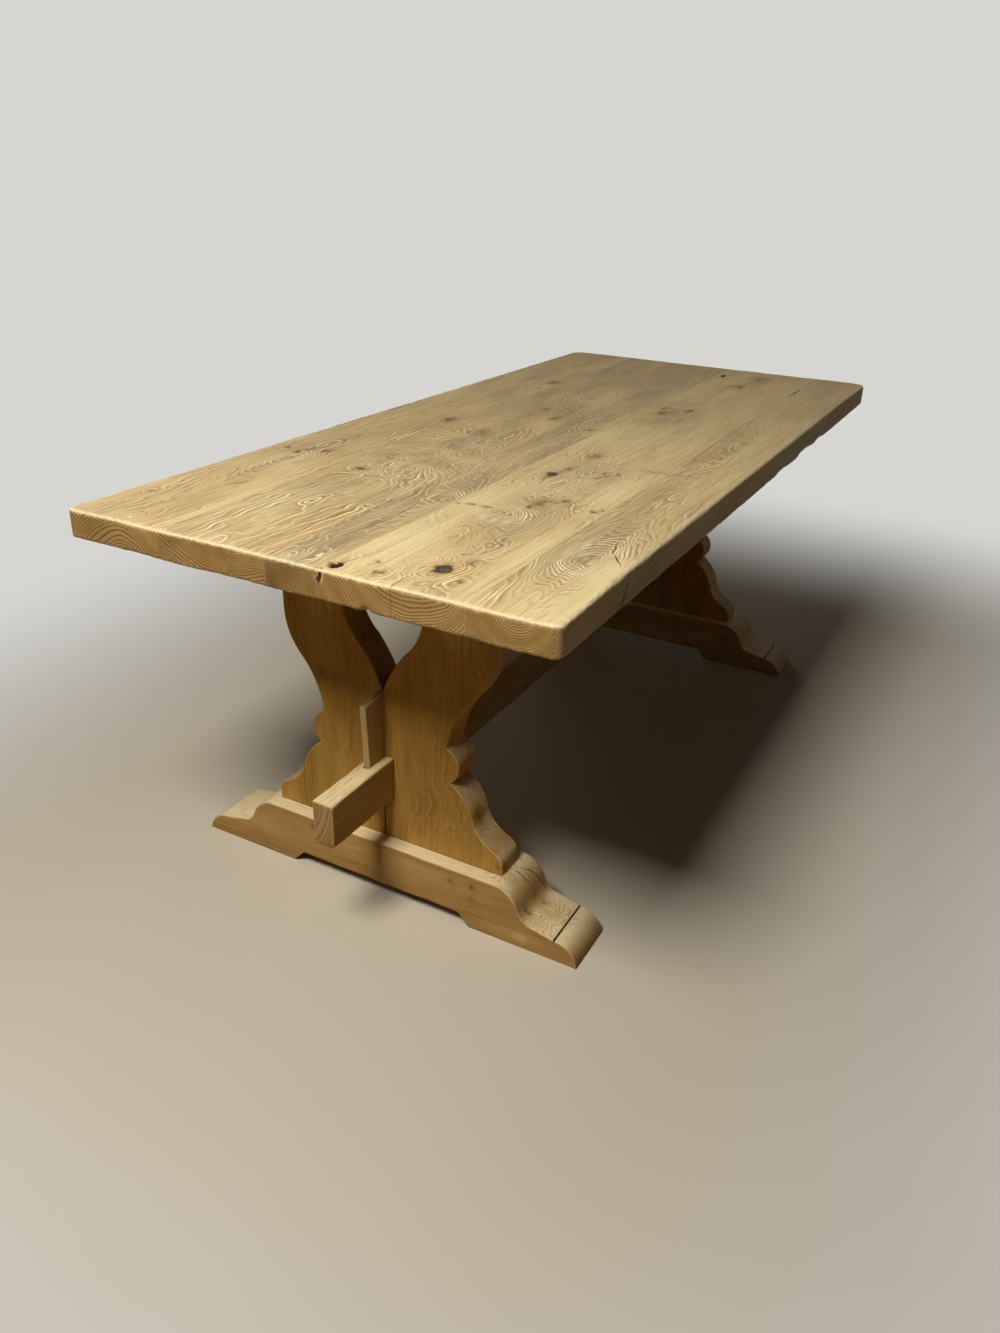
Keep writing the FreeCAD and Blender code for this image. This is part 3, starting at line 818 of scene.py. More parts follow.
def knot_field(points, knots):
    """How dark a knot is in its heart, 0 on its ragged rim, and -1 from twice its size outwards."""
    field = np.full(len(points), -1.0)
    warp = []
    for axis in (X, Y, Z):
        others = points[:, axis - 1] + points[:, axis - 2]
        warp.append(plane_waves(points[:, axis], others, seed=31 + axis, size=27.0))
    points = points + 2.0 * np.stack(warp, axis=1)
    for knot in knots:
        inside = 1.0 - ellipsoid(points, knot)
        field = np.maximum(field, np.where(inside > 0.0, inside * knot.dark, inside))
    return field


def hollow_field(points, knots):
    """How deep into an empty knot hole a point lies, from 0 on its rim to 1."""
    field = np.zeros(len(points))
    for knot in knots:
        if knot.hollow:
            field = np.maximum(field, 1.0 - ellipsoid(points, knot))
    return field


def tone_field(points, timber):
    """Tone of the wood: the board's own, soft blotches along the grain, and its stains."""
    along = points[:, timber.grain]
    b, c = [points[:, axis] for axis in (X, Y, Z) if axis != timber.grain]
    field = timber.tone + 0.08 * plane_waves(along / 4.0, b + c, timber.seed + 5, size=90.0)
    for stain in timber.stains:
        field = field + stain.strength * np.exp(-0.5 * ellipsoid(points, stain) ** 2)
    return field


def crack_fields(points, cracks):
    """Signed distance from the nearest crack in its own half widths, and how near it is, 0 to 1.

    A crack is a wavy plane through two points. It keeps its width along the middle and closes at its
    ends. The second field fades to 0 well away from it, where the first one may jump.
    """
    signed = np.full(len(points), NO_CRACK)
    near = np.zeros(len(points))
    for number, crack in enumerate(cracks):
        axes = [axis for axis in (X, Y, Z) if axis != crack.through]
        start, end = np.array(crack.start)[axes], np.array(crack.end)[axes]
        way = end - start
        length = np.linalg.norm(way)
        way = way / length
        offset = points[:, axes] - start
        run = offset @ way
        across = offset[:, 1] * way[0] - offset[:, 0] * way[1]
        across = across + 0.05 * length ** 0.7 * np.sin(run / (0.09 * length) + number)
        part = np.clip(run / length, 0.0, 1.0)
        open_part = np.sqrt(np.clip(np.sin(np.pi * (0.06 + 0.88 * part)), 0.0, 1.0))
        beyond = np.maximum(np.maximum(-run, run - length), 0.0)
        closeness = np.clip(2.0 - np.hypot(across, beyond * 1.6) / CRACK_REACH, 0.0, 1.0)
        here = closeness > near
        signed = np.where(here, across / (0.5 * crack.width * open_part), signed)
        near = np.maximum(near, closeness)
    return signed, near


def push_dents(points, dents):
    """Push points into the wood where chips and holes are, by a flat-floored bell."""
    for dent in dents:
        depth = np.exp(-ellipsoid(points, dent) ** 4)
        points = points + depth[:, None] * np.array(dent.push)
    return points


# Pieces

def make_piece(name, points, quads, arris, timber, material, body, bleached=0.0, dirt=0.0):
    """Put a skin into a mesh, give it the fields that its oak reads, and let it stand for its node.

    What faces up on a bleached piece is paler than its sides; where the bleach is below 0, as on the inner
    edge of the V, painted shade darkens it instead. Dirt marks dark seams and holes.
    """
    mesh = bpy.data.meshes.new(name)
    mesh.from_pydata((points * MM).tolist(), [], quads.tolist())
    mesh.validate()
    mesh.shade_smooth()
    mesh.set_sharp_from_angle(angle=SHARP_ANGLE)
    normals = np.zeros(len(points) * 3)
    mesh.vertices.foreach_get("normal", normals)
    normals = normals.reshape(-1, 3)
    along = normals[:, timber.grain]
    end = np.clip(along ** 2 * 1.3 - 0.15, 0.0, 1.0)
    crack, crack_near = crack_fields(points, timber.cracks)
    rings, pitch = ring_pitch(points, normals, timber, end)
    fields = {
        "rings": rings,
        "pitch": pitch,
        "figure": figure_field(points, normals, timber, pitch),
        "knot": knot_field(points, timber.knots),
        "hollow": np.maximum(hollow_field(points, timber.knots), dirt),
        # A bleach below 0 adds painted shade to the tone
        "tone": tone_field(points, timber) - bleached * np.clip(normals[:, Z], 0.0, 1.0),
        "crack": crack,
        "crack_near": crack_near,
        "arris": arris,
        "end_grain": end,
    }
    for field, values in fields.items():
        mesh.attributes.new(field, "FLOAT", "POINT").data.foreach_set("value", values.astype(np.float32))
    mesh.materials.append(material)
    piece = bpy.data.objects.new("oak_" + name, mesh)
    bpy.context.scene.collection.objects.link(piece)
    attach(piece, body)
    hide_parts(name)


def board_neighbours(index):
    """Names of the tongues in a board's left and right edge, or None at the outside of the top."""
    left = None if index == 1 else "top_tongue_%d" % (index - 1)
    right = None if index == len(TOP_TIMBER) else "top_tongue_%d" % index
    return left, right


def board_skin(index, sizes):
    """Lattice of one board of the top, with the grooves of its tongues left empty."""
    low, high = node_box("top_board_%d" % index)
    left, right = board_neighbours(index)
    arris = sizes.top_arris / MM
    joint = sizes.joint_half / MM
    grooves = [node_box(name) for name in (left, right) if name]
    marks = [rim_rows(low[X], high[X], arris), [], rim_rows(low[Z], high[Z], arris)]
    marks[Y] += [low[Y] + joint] if right else round_rows(low[Y], arris, 1)
    marks[Y] += [high[Y] - joint] if left else round_rows(high[Y], arris, -1)
    for groove in grooves:
        for axis in (X, Y, Z):
            marks[axis] += [groove[0][axis], groove[1][axis]]
    step = sizes.lattice / MM
    fine = stations(low[X], FINE_TO, FINE_STEP * step, marks[X])
    coarse = stations(FINE_TO, high[X], COARSE_STEP * step, marks[X])
    ys, zs = [stations(low[axis], high[axis], step, marks[axis]) for axis in (Y, Z)]
    points, quads = lattice_skin(np.append(fine[:-1], coarse), ys, zs, empty=grooves)
    return points, quads, low, high


def shape_board(points, low, high, index, sizes):
    """Shape a board of the top, and give each point's distance from the worn rim.

    In plan, the square corner of the top is bent into an arc: a point's larger distance from the
    corner's centre becomes its straight distance. In section, the rim is bent in the same way with
    the arris radius, which swells and narrows along the rim. At a glue joint the upper edge drops by
    the square of the nearness to the joint. The left edge stands out towards the near end, the far end
    towards its right corner, and the right edge leans in towards its upper arris; each of these fades
    out evenly into the board. The upper arris is rubbed further in on the face than down the edge, and
    the lower one less.
    """
    left, right = board_neighbours(index)
    x, y, z = points.T
    far_away = np.full(len(points), THROUGH)
    to_end = np.minimum(x - low[X], high[X] - x)
    to_side = far_away if left and right else (high[Y] - y if not left else y - low[Y])
    to_rim = np.minimum(to_end, to_side)
    upper = z > (low[Z] + high[Z]) / 2
    to_face = np.where(upper, high[Z] - z, z - low[Z])
    swell = 0.12 * plane_waves(x, y, seed=3, size=90.0) + 0.14 * plane_waves(x, y, seed=4, size=21.0)
    swell = 1.0 + swell * np.where(to_rim < SWELL_RIM, 1.0, 0.0)
    radius = np.where(upper, sizes.top_arris, sizes.under_arris) / MM * np.clip(swell, 0.6, 1.6)

    rim_in, face_in = np.maximum(radius - to_rim, 0.0), np.maximum(radius - to_face, 0.0)
    kept = shrink(np.maximum(rim_in, face_in), np.hypot(rim_in, face_in))
    rim_shift, face_shift = rim_in * (1.0 - kept), face_in * (1.0 - kept)

    near, far = sizes.near_left_corner, sizes.far_left_corner
    if left:
        near, far = sizes.near_right_corner, sizes.far_right_corner
    corner = np.where(x < 0, near, far) / MM
    end_in, side_in = corner - to_end, corner - to_side
    in_corner = (end_in > 0) & (side_in > 0)
    bend = shrink(np.maximum(end_in, side_in) - rim_shift, np.hypot(end_in, side_in))
    by_end = to_end <= to_side
    new_end = np.where(in_corner, corner - end_in * bend, to_end + np.where(by_end, rim_shift, 0.0))
    new_side = np.where(in_corner, corner - side_in * bend, to_side + np.where(by_end, 0.0, rim_shift))

    bow = 0.8 * plane_waves(y, z, seed=5, size=210.0)
    new_x = np.where(x < 0, low[X] + new_end, high[X] - new_end)
    new_x = new_x + fade(to_end, BOW_REACH) * bow * np.sign(-x)
    to_right = fade(y + TOP_HALF_W, SKEW_WIDTH)
    new_x = new_x + sizes.skew / MM * to_right * fade(high[X] - x, SKEW_REACH)
    new_y = y
    along = (x - low[X]) / (high[X] - low[X])
    if not left:
        out = sizes.flare / MM * (1.0 - along)
        new_y = high[Y] - new_side + out * fade(to_side, FLARE_REACH)
    elif not right:
        run = np.minimum(along / LEAN_RUN_IN, (1.0 - along) / LEAN_RUN_OUT)
        inward = sizes.lean / MM * np.clip(run, 0.0, 1.0) * (z - low[Z]) / (high[Z] - low[Z])
        new_y = low[Y] + new_side + inward * fade(to_side, LEAN_REACH)
    joints = [gap for gap, joined in ((high[Y] - y, left), (y - low[Y], right)) if joined]
    to_joint = np.minimum.reduce(joints)
    drop = face_shift + fade(to_joint, sizes.joint_half / MM) ** 2 * sizes.joint_deep / MM
    flat = 0.25 * plane_waves(x / 3.0, y, seed=7, size=60.0)
    new_z = np.where(upper, z - drop, z + drop) + flat * np.clip(to_rim / CALM_RIM, 0.0, 1.0)
    worn = np.where(upper, np.hypot(to_rim, 1.6 * to_face), 1.5 * np.hypot(to_rim, to_face) + 3.0)
    shaped = np.stack([new_x, new_y, new_z], axis=1)
    return shaped, worn


def make_board(index, sizes, material):
    """A board of the top: a lattice, shaped as a part of the top and dented."""
    name = "top_board_%d" % index
    points, quads, low, high = board_skin(index, sizes)
    shaped, worn = shape_board(points, low, high, index, sizes)
    shaped = push_dents(shaped, TOP_DENTS.get(name, ()))
    wear = rubbed_band(worn, sizes)
    make_piece(name, shaped, quads, wear, TOP_TIMBER[index - 1], material, TABLE_BODY)


def make_upright(name, side, sizes, material):
    """A sawn upright: a lattice of even width, stretched at each height between the two outlines.

    The strip beside the seam keeps its true width, so that the stretcher's mortise stays square.
    """
    low, high = node_box(name)
    low[Y], high[Y] = 0.0, UPRIGHT_NOMINAL
    low[Z], high[Z] = FOOT_H, UPRIGHT_TOP
    arris, seam = sizes.base_arris / MM, sizes.seam_arris / MM
    strip = TENON_W / 2 + TENON_GAP
    mortise = ((-THROUGH, -THROUGH, TENON_LOW - TENON_GAP), (THROUGH, strip, TENON_TOP + TENON_GAP))
    step = sizes.base_lattice / MM
    xs = stations(low[X], high[X], step, rim_rows(low[X], high[X], arris))
    ys = stations(0.0, UPRIGHT_NOMINAL, step,
                  round_rows(0.0, seam, 1) + round_rows(UPRIGHT_NOMINAL, arris, -1) + [strip])
    contact = low[Z] + CONTACT_H
    zs = stations(low[Z], high[Z], step, [contact, mortise[0][Z], mortise[1][Z], *UPRIGHT_KINKS])
    points, quads = lattice_skin(xs, ys, zs, empty=[mortise])
    v, height = points[:, Y], points[:, Z]
    at_seam = (v < UPRIGHT_NOMINAL / 2) & (height < UPRIGHT_CROTCH)
    uneven = arris * (1.0 + ARRIS_SWELL * plane_waves(v, height, seed=9, size=70.0))
    radius = np.where(at_seam, seam, uneven)
    worn = arris_distance(points, low, high, axes=(X, Y)) + np.where(at_seam, UNRUBBED, 0.0)
    soft = soften(points, low, high, radius, axes=(X, Y))
    outer = trace((UPRIGHT_TOE, FOOT_H), UPRIGHT_OUTER)
    inner = trace((0.0, FOOT_H), UPRIGHT_INNER)
    edge = np.interp(height, outer[:, 1], outer[:, 0])
    seam_at = np.interp(height, inner[:, 1], inner[:, 0])
    across = keep_edges(soft[:, Y], UPRIGHT_NOMINAL, seam_at, edge, strip, EDGE_STRIP)
    shaped = np.stack([soft[:, X], side * across, height], axis=1)
    if side < 0:
        quads = quads[:, ::-1]
    wear = rubbed_band(worn, sizes, TRESTLE_WEAR)
    in_vee = ~at_seam & (v < ON_FACE)
    # Outer sawn edges that face up are bleached paler; the inner edge of the V gets painted shade, darker
    # the more it faces up
    bleached = np.where(v > UPRIGHT_NOMINAL / 2, EDGE_BLEACH, np.where(in_vee, -VEE_PAINTED_SHADE, 0.0))
    dirt = np.where((at_seam & (v < 0.9 * seam)) | (height < contact - ON_FACE), 1.0, 0.0)
    make_piece(name, shaped, quads, wear, BASE_TIMBER[name], material, TABLE_BODY,
               bleached=bleached, dirt=dirt)


def make_foot(name, sizes, material):
    """A foot: a lattice of even height, stretched at each station between its moulded outlines.

    The upper outline dips in a V where the right toe is scored.
    """
    low, high = node_box(name)
    low[Y], high[Y] = low[Y] + FOOT_BLUNT, high[Y] - FOOT_BLUNT
    low[Z], high[Z] = 0.0, FOOT_H
    arris = sizes.base_arris / MM
    step = sizes.base_lattice / MM
    kinks = [side * run[-1][0] for side in (-1, 1) for run in FOOT_TOP + FOOT_UNDER]
    line = [-TOE_LINE_AT + part * TOE_LINE_HALF for part in (-1.0, -0.5, 0.5, 1.0)]
    toes = [side * (high[Y] - gap) for side in (-1, 1) for gap in TOE_ROWS]
    xs = stations(low[X], high[X], step, rim_rows(low[X], high[X], arris))
    ys = stations(low[Y], high[Y], step, kinks + line + toes)
    zs = stations(0.0, FOOT_H, step, rim_rows(0.0, FOOT_H, arris))
    points, quads = lattice_skin(xs, ys, zs)
    worn = arris_distance(points, low, high, axes=(X, Z))
    worn = worn + np.where(points[:, Z] < FOOT_H / 2, UNRUBBED, 0.0)
    radius = arris * (1.0 + ARRIS_SWELL * plane_waves(points[:, Y], points[:, X], seed=15, size=60.0))
    soft = soften(points, low, high, radius, axes=(X, Z))
    y = soft[:, Y]
    top, under = trace((0.0, FOOT_H), FOOT_TOP), trace((0.0, FOOT_RELIEF), FOOT_UNDER)
    top_at = np.interp(np.abs(y), top[:, 0], top[:, 1])
    score = fade(np.abs(y + TOE_LINE_AT), TOE_LINE_HALF)
    top_at = top_at - score * TOE_LINE_DEEP
    under_at = np.interp(np.abs(y), under[:, 0], under[:, 1])
    height = keep_edges(soft[:, Z], FOOT_H, under_at, top_at, EDGE_STRIP, EDGE_STRIP)
    shaped = np.stack([soft[:, X], y, height], axis=1)
    wear = rubbed_band(worn, sizes, TRESTLE_WEAR)
    dirt = np.where((score > 0.4) & (soft[:, Z] > FOOT_H - 1.0), 1.0, 0.0)
    make_piece(name, shaped, quads, wear, BASE_TIMBER[name], material, TABLE_BODY,
               bleached=FOOT_BLEACH, dirt=dirt)


def trestle_outward(trestle):
    """-1 where a trestle's outside looks along -X and 1 where it looks along +X."""
    low, high = node_box(trestle + "_foot")
    return math.copysign(1.0, low[X] + high[X])


def wedge_hole(trestle):
    """The mortise in a tenon: it starts inside the upright and leaves a little room before the wedge."""
    outward = trestle_outward(trestle)
    low, high = node_box(trestle + "_wedge")
    back = low[X] if outward > 0 else high[X]
    taper = (WEDGE_NOMINAL - WEDGE_TIP_W) * (TENON_TOP - low[Z]) / (WEDGE_SLOPE_TOP - low[Z])
    ends = (back - outward * WEDGE_HOLE_BACK, back + outward * (WEDGE_TIP_W + taper + WEDGE_HOLE_FRONT))
    sides = (low[Y] - WEDGE_HOLE_SIDE, high[Y] + WEDGE_HOLE_SIDE)
    return (min(ends), sides[0], -THROUGH), (max(ends), sides[1], THROUGH)


def make_stretcher(sizes, material):
    """The rail: a long lattice, with the cells round its tenons and in the wedge mortises left empty."""
    low, high = node_box("stretcher")
    shoulders = (node_box("near_left_upright")[1][X], node_box("far_left_upright")[0][X])
    half_tenon = TENON_W / 2
    arris = RAIL_ARRIS * sizes.base_arris / MM
    holes = [wedge_hole(trestle) for trestle in TRESTLES]
    around = []
    for x_low, x_high in ((-THROUGH, shoulders[0]), (shoulders[1], THROUGH)):
        around += [((x_low, half_tenon, -THROUGH), (x_high, THROUGH, THROUGH)),
                   ((x_low, -THROUGH, -THROUGH), (x_high, -half_tenon, THROUGH)),
                   ((x_low, -THROUGH, -THROUGH), (x_high, THROUGH, TENON_LOW)),
                   ((x_low, -THROUGH, TENON_TOP), (x_high, THROUGH, THROUGH))]
    step = sizes.base_lattice / MM
    x_marks = [*shoulders, *rim_rows(low[X], high[X], arris)]
    y_marks = [-half_tenon, half_tenon]
    y_marks += rim_rows(low[Y], high[Y], arris) + rim_rows(-half_tenon, half_tenon, arris)
    z_marks = [TENON_LOW, TENON_TOP]
    z_marks += rim_rows(low[Z], high[Z], arris) + rim_rows(TENON_LOW, TENON_TOP, arris)
    for hole in holes:
        x_marks += [hole[0][X], hole[1][X]]
        y_marks += [hole[0][Y], hole[1][Y]]
    points, quads = lattice_skin(
        stations(low[X], high[X], step, x_marks), stations(low[Y], high[Y], step, y_marks),
        stations(low[Z], high[Z], step, z_marks), empty=holes + around,
    )
    in_rail = (points[:, X] >= shoulders[0]) & (points[:, X] <= shoulders[1])
    tenon_low, tenon_high = low.copy(), high.copy()
    tenon_low[Y], tenon_high[Y] = -half_tenon, half_tenon
    tenon_low[Z], tenon_high[Z] = TENON_LOW, TENON_TOP
    radius = arris * (1.0 + ARRIS_SWELL * plane_waves(points[:, X], points[:, Y], seed=19, size=60.0))
    rail = soften(points, low, high, radius, axes=(Y, Z))
    tenon = soften(points, tenon_low, tenon_high, radius)
    shaped = np.where(in_rail[:, None], rail, tenon)
    worn = np.where(in_rail, arris_distance(points, low, high, axes=(Y, Z)),
                    arris_distance(points, tenon_low, tenon_high))
    wear = rubbed_band(worn, sizes, TRESTLE_WEAR)
    in_hole = False
    for hole_low, hole_high in holes:
        beside = (points > np.array(hole_low) - ON_FACE) & (points < np.array(hole_high) + ON_FACE)
        in_hole = in_hole | (beside.all(axis=1) & (points[:, Z] < TENON_TOP - ON_FACE))
    make_piece("stretcher", shaped, quads, wear, BASE_TIMBER["stretcher"], material, TABLE_BODY,
               bleached=np.where(in_rail, 0.0, TENON_BLEACH), dirt=np.where(in_hole, 1.0, 0.0))


def make_wedge(trestle, sizes, material):
    """A tusk wedge: a softened slip whose front leans in towards the tip and whose head slopes."""
    name = trestle + "_wedge"
    outward = trestle_outward(trestle)
    low, high = node_box(name)
    back = low[X] if outward > 0 else high[X]
    flat_low, flat_high = np.array((0.0, low[Y], low[Z])), np.array((WEDGE_NOMINAL, high[Y], high[Z]))
    walls = []
    for span in zip(flat_low, flat_high):
        walls.append(stations(*span, WEDGE_LATTICE, rim_rows(*span, WEDGE_ARRIS)))
    points, quads = lattice_skin(*walls)
    worn = arris_distance(points, flat_low, flat_high)
    soft = soften(points, flat_low, flat_high, WEDGE_ARRIS)
    rise = (soft[:, Z] - low[Z]) / (WEDGE_SLOPE_TOP - low[Z])
    width = WEDGE_TIP_W + (WEDGE_NOMINAL - WEDGE_TIP_W) * np.minimum(rise, 1.0)
    forward = soft[:, X] / WEDGE_NOMINAL
    slope = WEDGE_DROP * forward * fade(high[Z] - soft[:, Z], WEDGE_HEAD)
    shaped = np.stack([back + outward * forward * width, soft[:, Y], soft[:, Z] - slope], axis=1)
    if outward < 0:
        quads = quads[:, ::-1]
    wear = rubbed_band(worn, sizes, SMALL_WEAR)
    make_piece(name, shaped, quads, wear, BASE_TIMBER[name], material, name)


def screw_places(trestle):
    """Where the screws of a bearer stand: the middle of each board, on alternate sides."""
    low, high = node_box(trestle + "_bearer")
    middle = (low[X] + high[X]) / 2
    outward = trestle_outward(trestle)
    places = []
    for index in range(len(TOP_TIMBER)):
        board_low, board_high = node_box("top_board_%d" % (index + 1))
        y = np.clip((board_low[Y] + board_high[Y]) / 2, -SCREW_REACH, SCREW_REACH)
        places.append((middle + outward * SCREW_OFFSET * (-1) ** index, y))
    return places


def bore(points, centre, radius):
    """Turn the square hole round a centre into a round one.

    A point's larger distance from the centre becomes its straight distance, and this fades out
    between one radius and two.
    """
    way = points[:, :2] - np.array(centre)
    reach, length = np.abs(way).max(axis=1), np.linalg.norm(way, axis=1)
    share = np.clip(2.0 - reach / radius, 0.0, 1.0)
    bent = points.copy()
    bent[:, :2] = np.array(centre) + way * (1.0 + share * (shrink(reach, length) - 1.0))[:, None]
    return bent


def make_bearer(trestle, sizes, material):
    """A bearer: a softened rail, bored for its screws, whose underside rises to bevelled ends."""
    name = trestle + "_bearer"
    low, high = node_box(name)
    arris = sizes.base_arris / MM
    marks = [rim_rows(*span, arris) for span in zip(low, high)]
    floor = low[Z] + SINK_DEEP
    marks[Z].append(floor)
    marks[Y] += [low[Y] + BEARER_BEVEL_L, high[Y] - BEARER_BEVEL_L]
    holes = []
    for x, y in screw_places(trestle):
        for axis, middle in ((X, x), (Y, y)):
            marks[axis] += [middle + part * SINK_R for part in (-1.0, -0.5, 0.0, 0.5, 1.0)]
        holes.append(((x - SINK_R, y - SINK_R, -THROUGH), (x + SINK_R, y + SINK_R, floor)))
    step = sizes.base_lattice / MM
    walls = [stations(low[axis], high[axis], step, marks[axis]) for axis in (X, Y, Z)]
    points, quads = lattice_skin(*walls, empty=holes)
    worn = arris_distance(points, low, high)
    shaped = soften(points, low, high, arris)
    for place in screw_places(trestle):
        shaped = bore(shaped, place, SINK_R)
    half = (high[Y] - low[Y]) / 2
    into_bevel = fade(half - np.abs(shaped[:, Y]), BEARER_BEVEL_L)
    height = (high[Z] - shaped[:, Z]) / (high[Z] - low[Z])
    shaped[:, Z] += into_bevel * BEARER_BEVEL_H * height
    wear = rubbed_band(worn, sizes, SMALL_WEAR)
    make_piece(name, shaped, quads, wear, BASE_TIMBER[name], material, TABLE_BODY,
               bleached=BEARER_BLEACH)


# Materials

class NodeBench:
    """Short calls that add nodes to one material or world."""

    def __init__(self, owner):
        owner.use_nodes = True
        self.owner = owner
        self.tree = owner.node_tree
        self.tree.nodes.clear()

    def feed(self, socket, value):
        """Link an output to a socket, or set a plain value on it."""
        if isinstance(value, bpy.types.NodeSocket):
            self.tree.links.new(value, socket)
        else:
            socket.default_value = value

    def node(self, kind, inputs=None, **settings):
        """A node with its settings made and its inputs fed."""
        made = self.tree.nodes.new(kind)
        for key, value in settings.items():
            setattr(made, key, value)
        for key, value in (inputs or {}).items():
            self.feed(made.inputs[key], value)
        return made

    def math(self, operation, a, b=0.0, clamp=False):
        """A sum, product or the like of two values."""
        return self.node("ShaderNodeMath", {0: a, 1: b}, operation=operation, use_clamp=clamp).outputs[0]

    def plus(self, a, b, share):
        """One value with a share of another added to it."""
        made = self.node("ShaderNodeMath", {0: b, 1: share, 2: a}, operation="MULTIPLY_ADD")
        return made.outputs[0]

    def vector(self, operation, a, b=(0.0, 0.0, 0.0)):
        """A sum, difference or the like of two vectors, as a node."""
        return self.node("ShaderNodeVectorMath", {0: a, 1: b}, operation=operation)

    def attribute(self, name):
        """A field of the piece."""
        return self.node("ShaderNodeAttribute", attribute_name=name).outputs["Fac"]

    def stretched(self, place, grain, along):
        """Object coordinates squeezed along the grain, so that a pattern on them runs with it."""
        scale = [1.0, 1.0, 1.0]
        scale[grain] = along
        return self.node("ShaderNodeMapping", {"Vector": place, "Scale": scale}).outputs[0]

    def noise(self, vector, scale, detail=2.0, roughness=0.5):
        """Smooth noise, about 0.5 on average."""
        inputs = {"Vector": vector, "Scale": scale, "Detail": detail, "Roughness": roughness}
        return self.node("ShaderNodeTexNoise", inputs).outputs[0]

    def remap(self, value, low, high, to_low=0.0, to_high=1.0):
        """A value brought evenly from one range into another, and kept inside it."""
        inputs = {"Value": value, "From Min": low, "From Max": high, "To Min": to_low, "To Max": to_high}
        return self.node("ShaderNodeMapRange", inputs, clamp=True).outputs[0]

    def mix(self, factor, a, b):
        """A colour between two others."""
        made = self.node("ShaderNodeMix", {0: factor, 6: a, 7: b}, data_type="RGBA")
        return made.outputs[2]

    def ramp(self, value, stops):
        """A row of colours that a value picks from, as a node."""
        made = self.node("ShaderNodeValToRGB", {0: value})
        elements = made.color_ramp.elements
        while len(elements) < len(stops):
            elements.new(0.5)
        for element, (position, colour) in zip(elements, stops):
            element.position = position
            element.color = colour
        return made

    def curve(self, value, stops):
        """A grey ramp, as one number."""
        return self.ramp(value, [(place, (grey, grey, grey, 1.0)) for place, grey in stops]).outputs[0]

    def finish(self, colour, roughness, height, bump, distance, shine, metallic=0.0):
        """Close the material with one shader."""
        normal = self.node("ShaderNodeBump", {"Height": height, "Strength": bump, "Distance": distance})
        shader = self.node("ShaderNodeBsdfPrincipled", {
            "Base Color": colour, "Roughness": roughness, "Normal": normal.outputs[0], "Metallic": metallic,
            "Specular IOR Level": shine,
        })
        self.node("ShaderNodeOutputMaterial", {"Surface": shader.outputs[0]})
        return self.owner


# Colours of one kind of oak, how clear its figure is, and how much its rubbed arrises show
Palette = namedtuple("Palette", "field line warm stain late bleach worn end end_line contrast wear")


def solid(colour):
    """A colour without transparency."""
    return (*colour, 1.0)


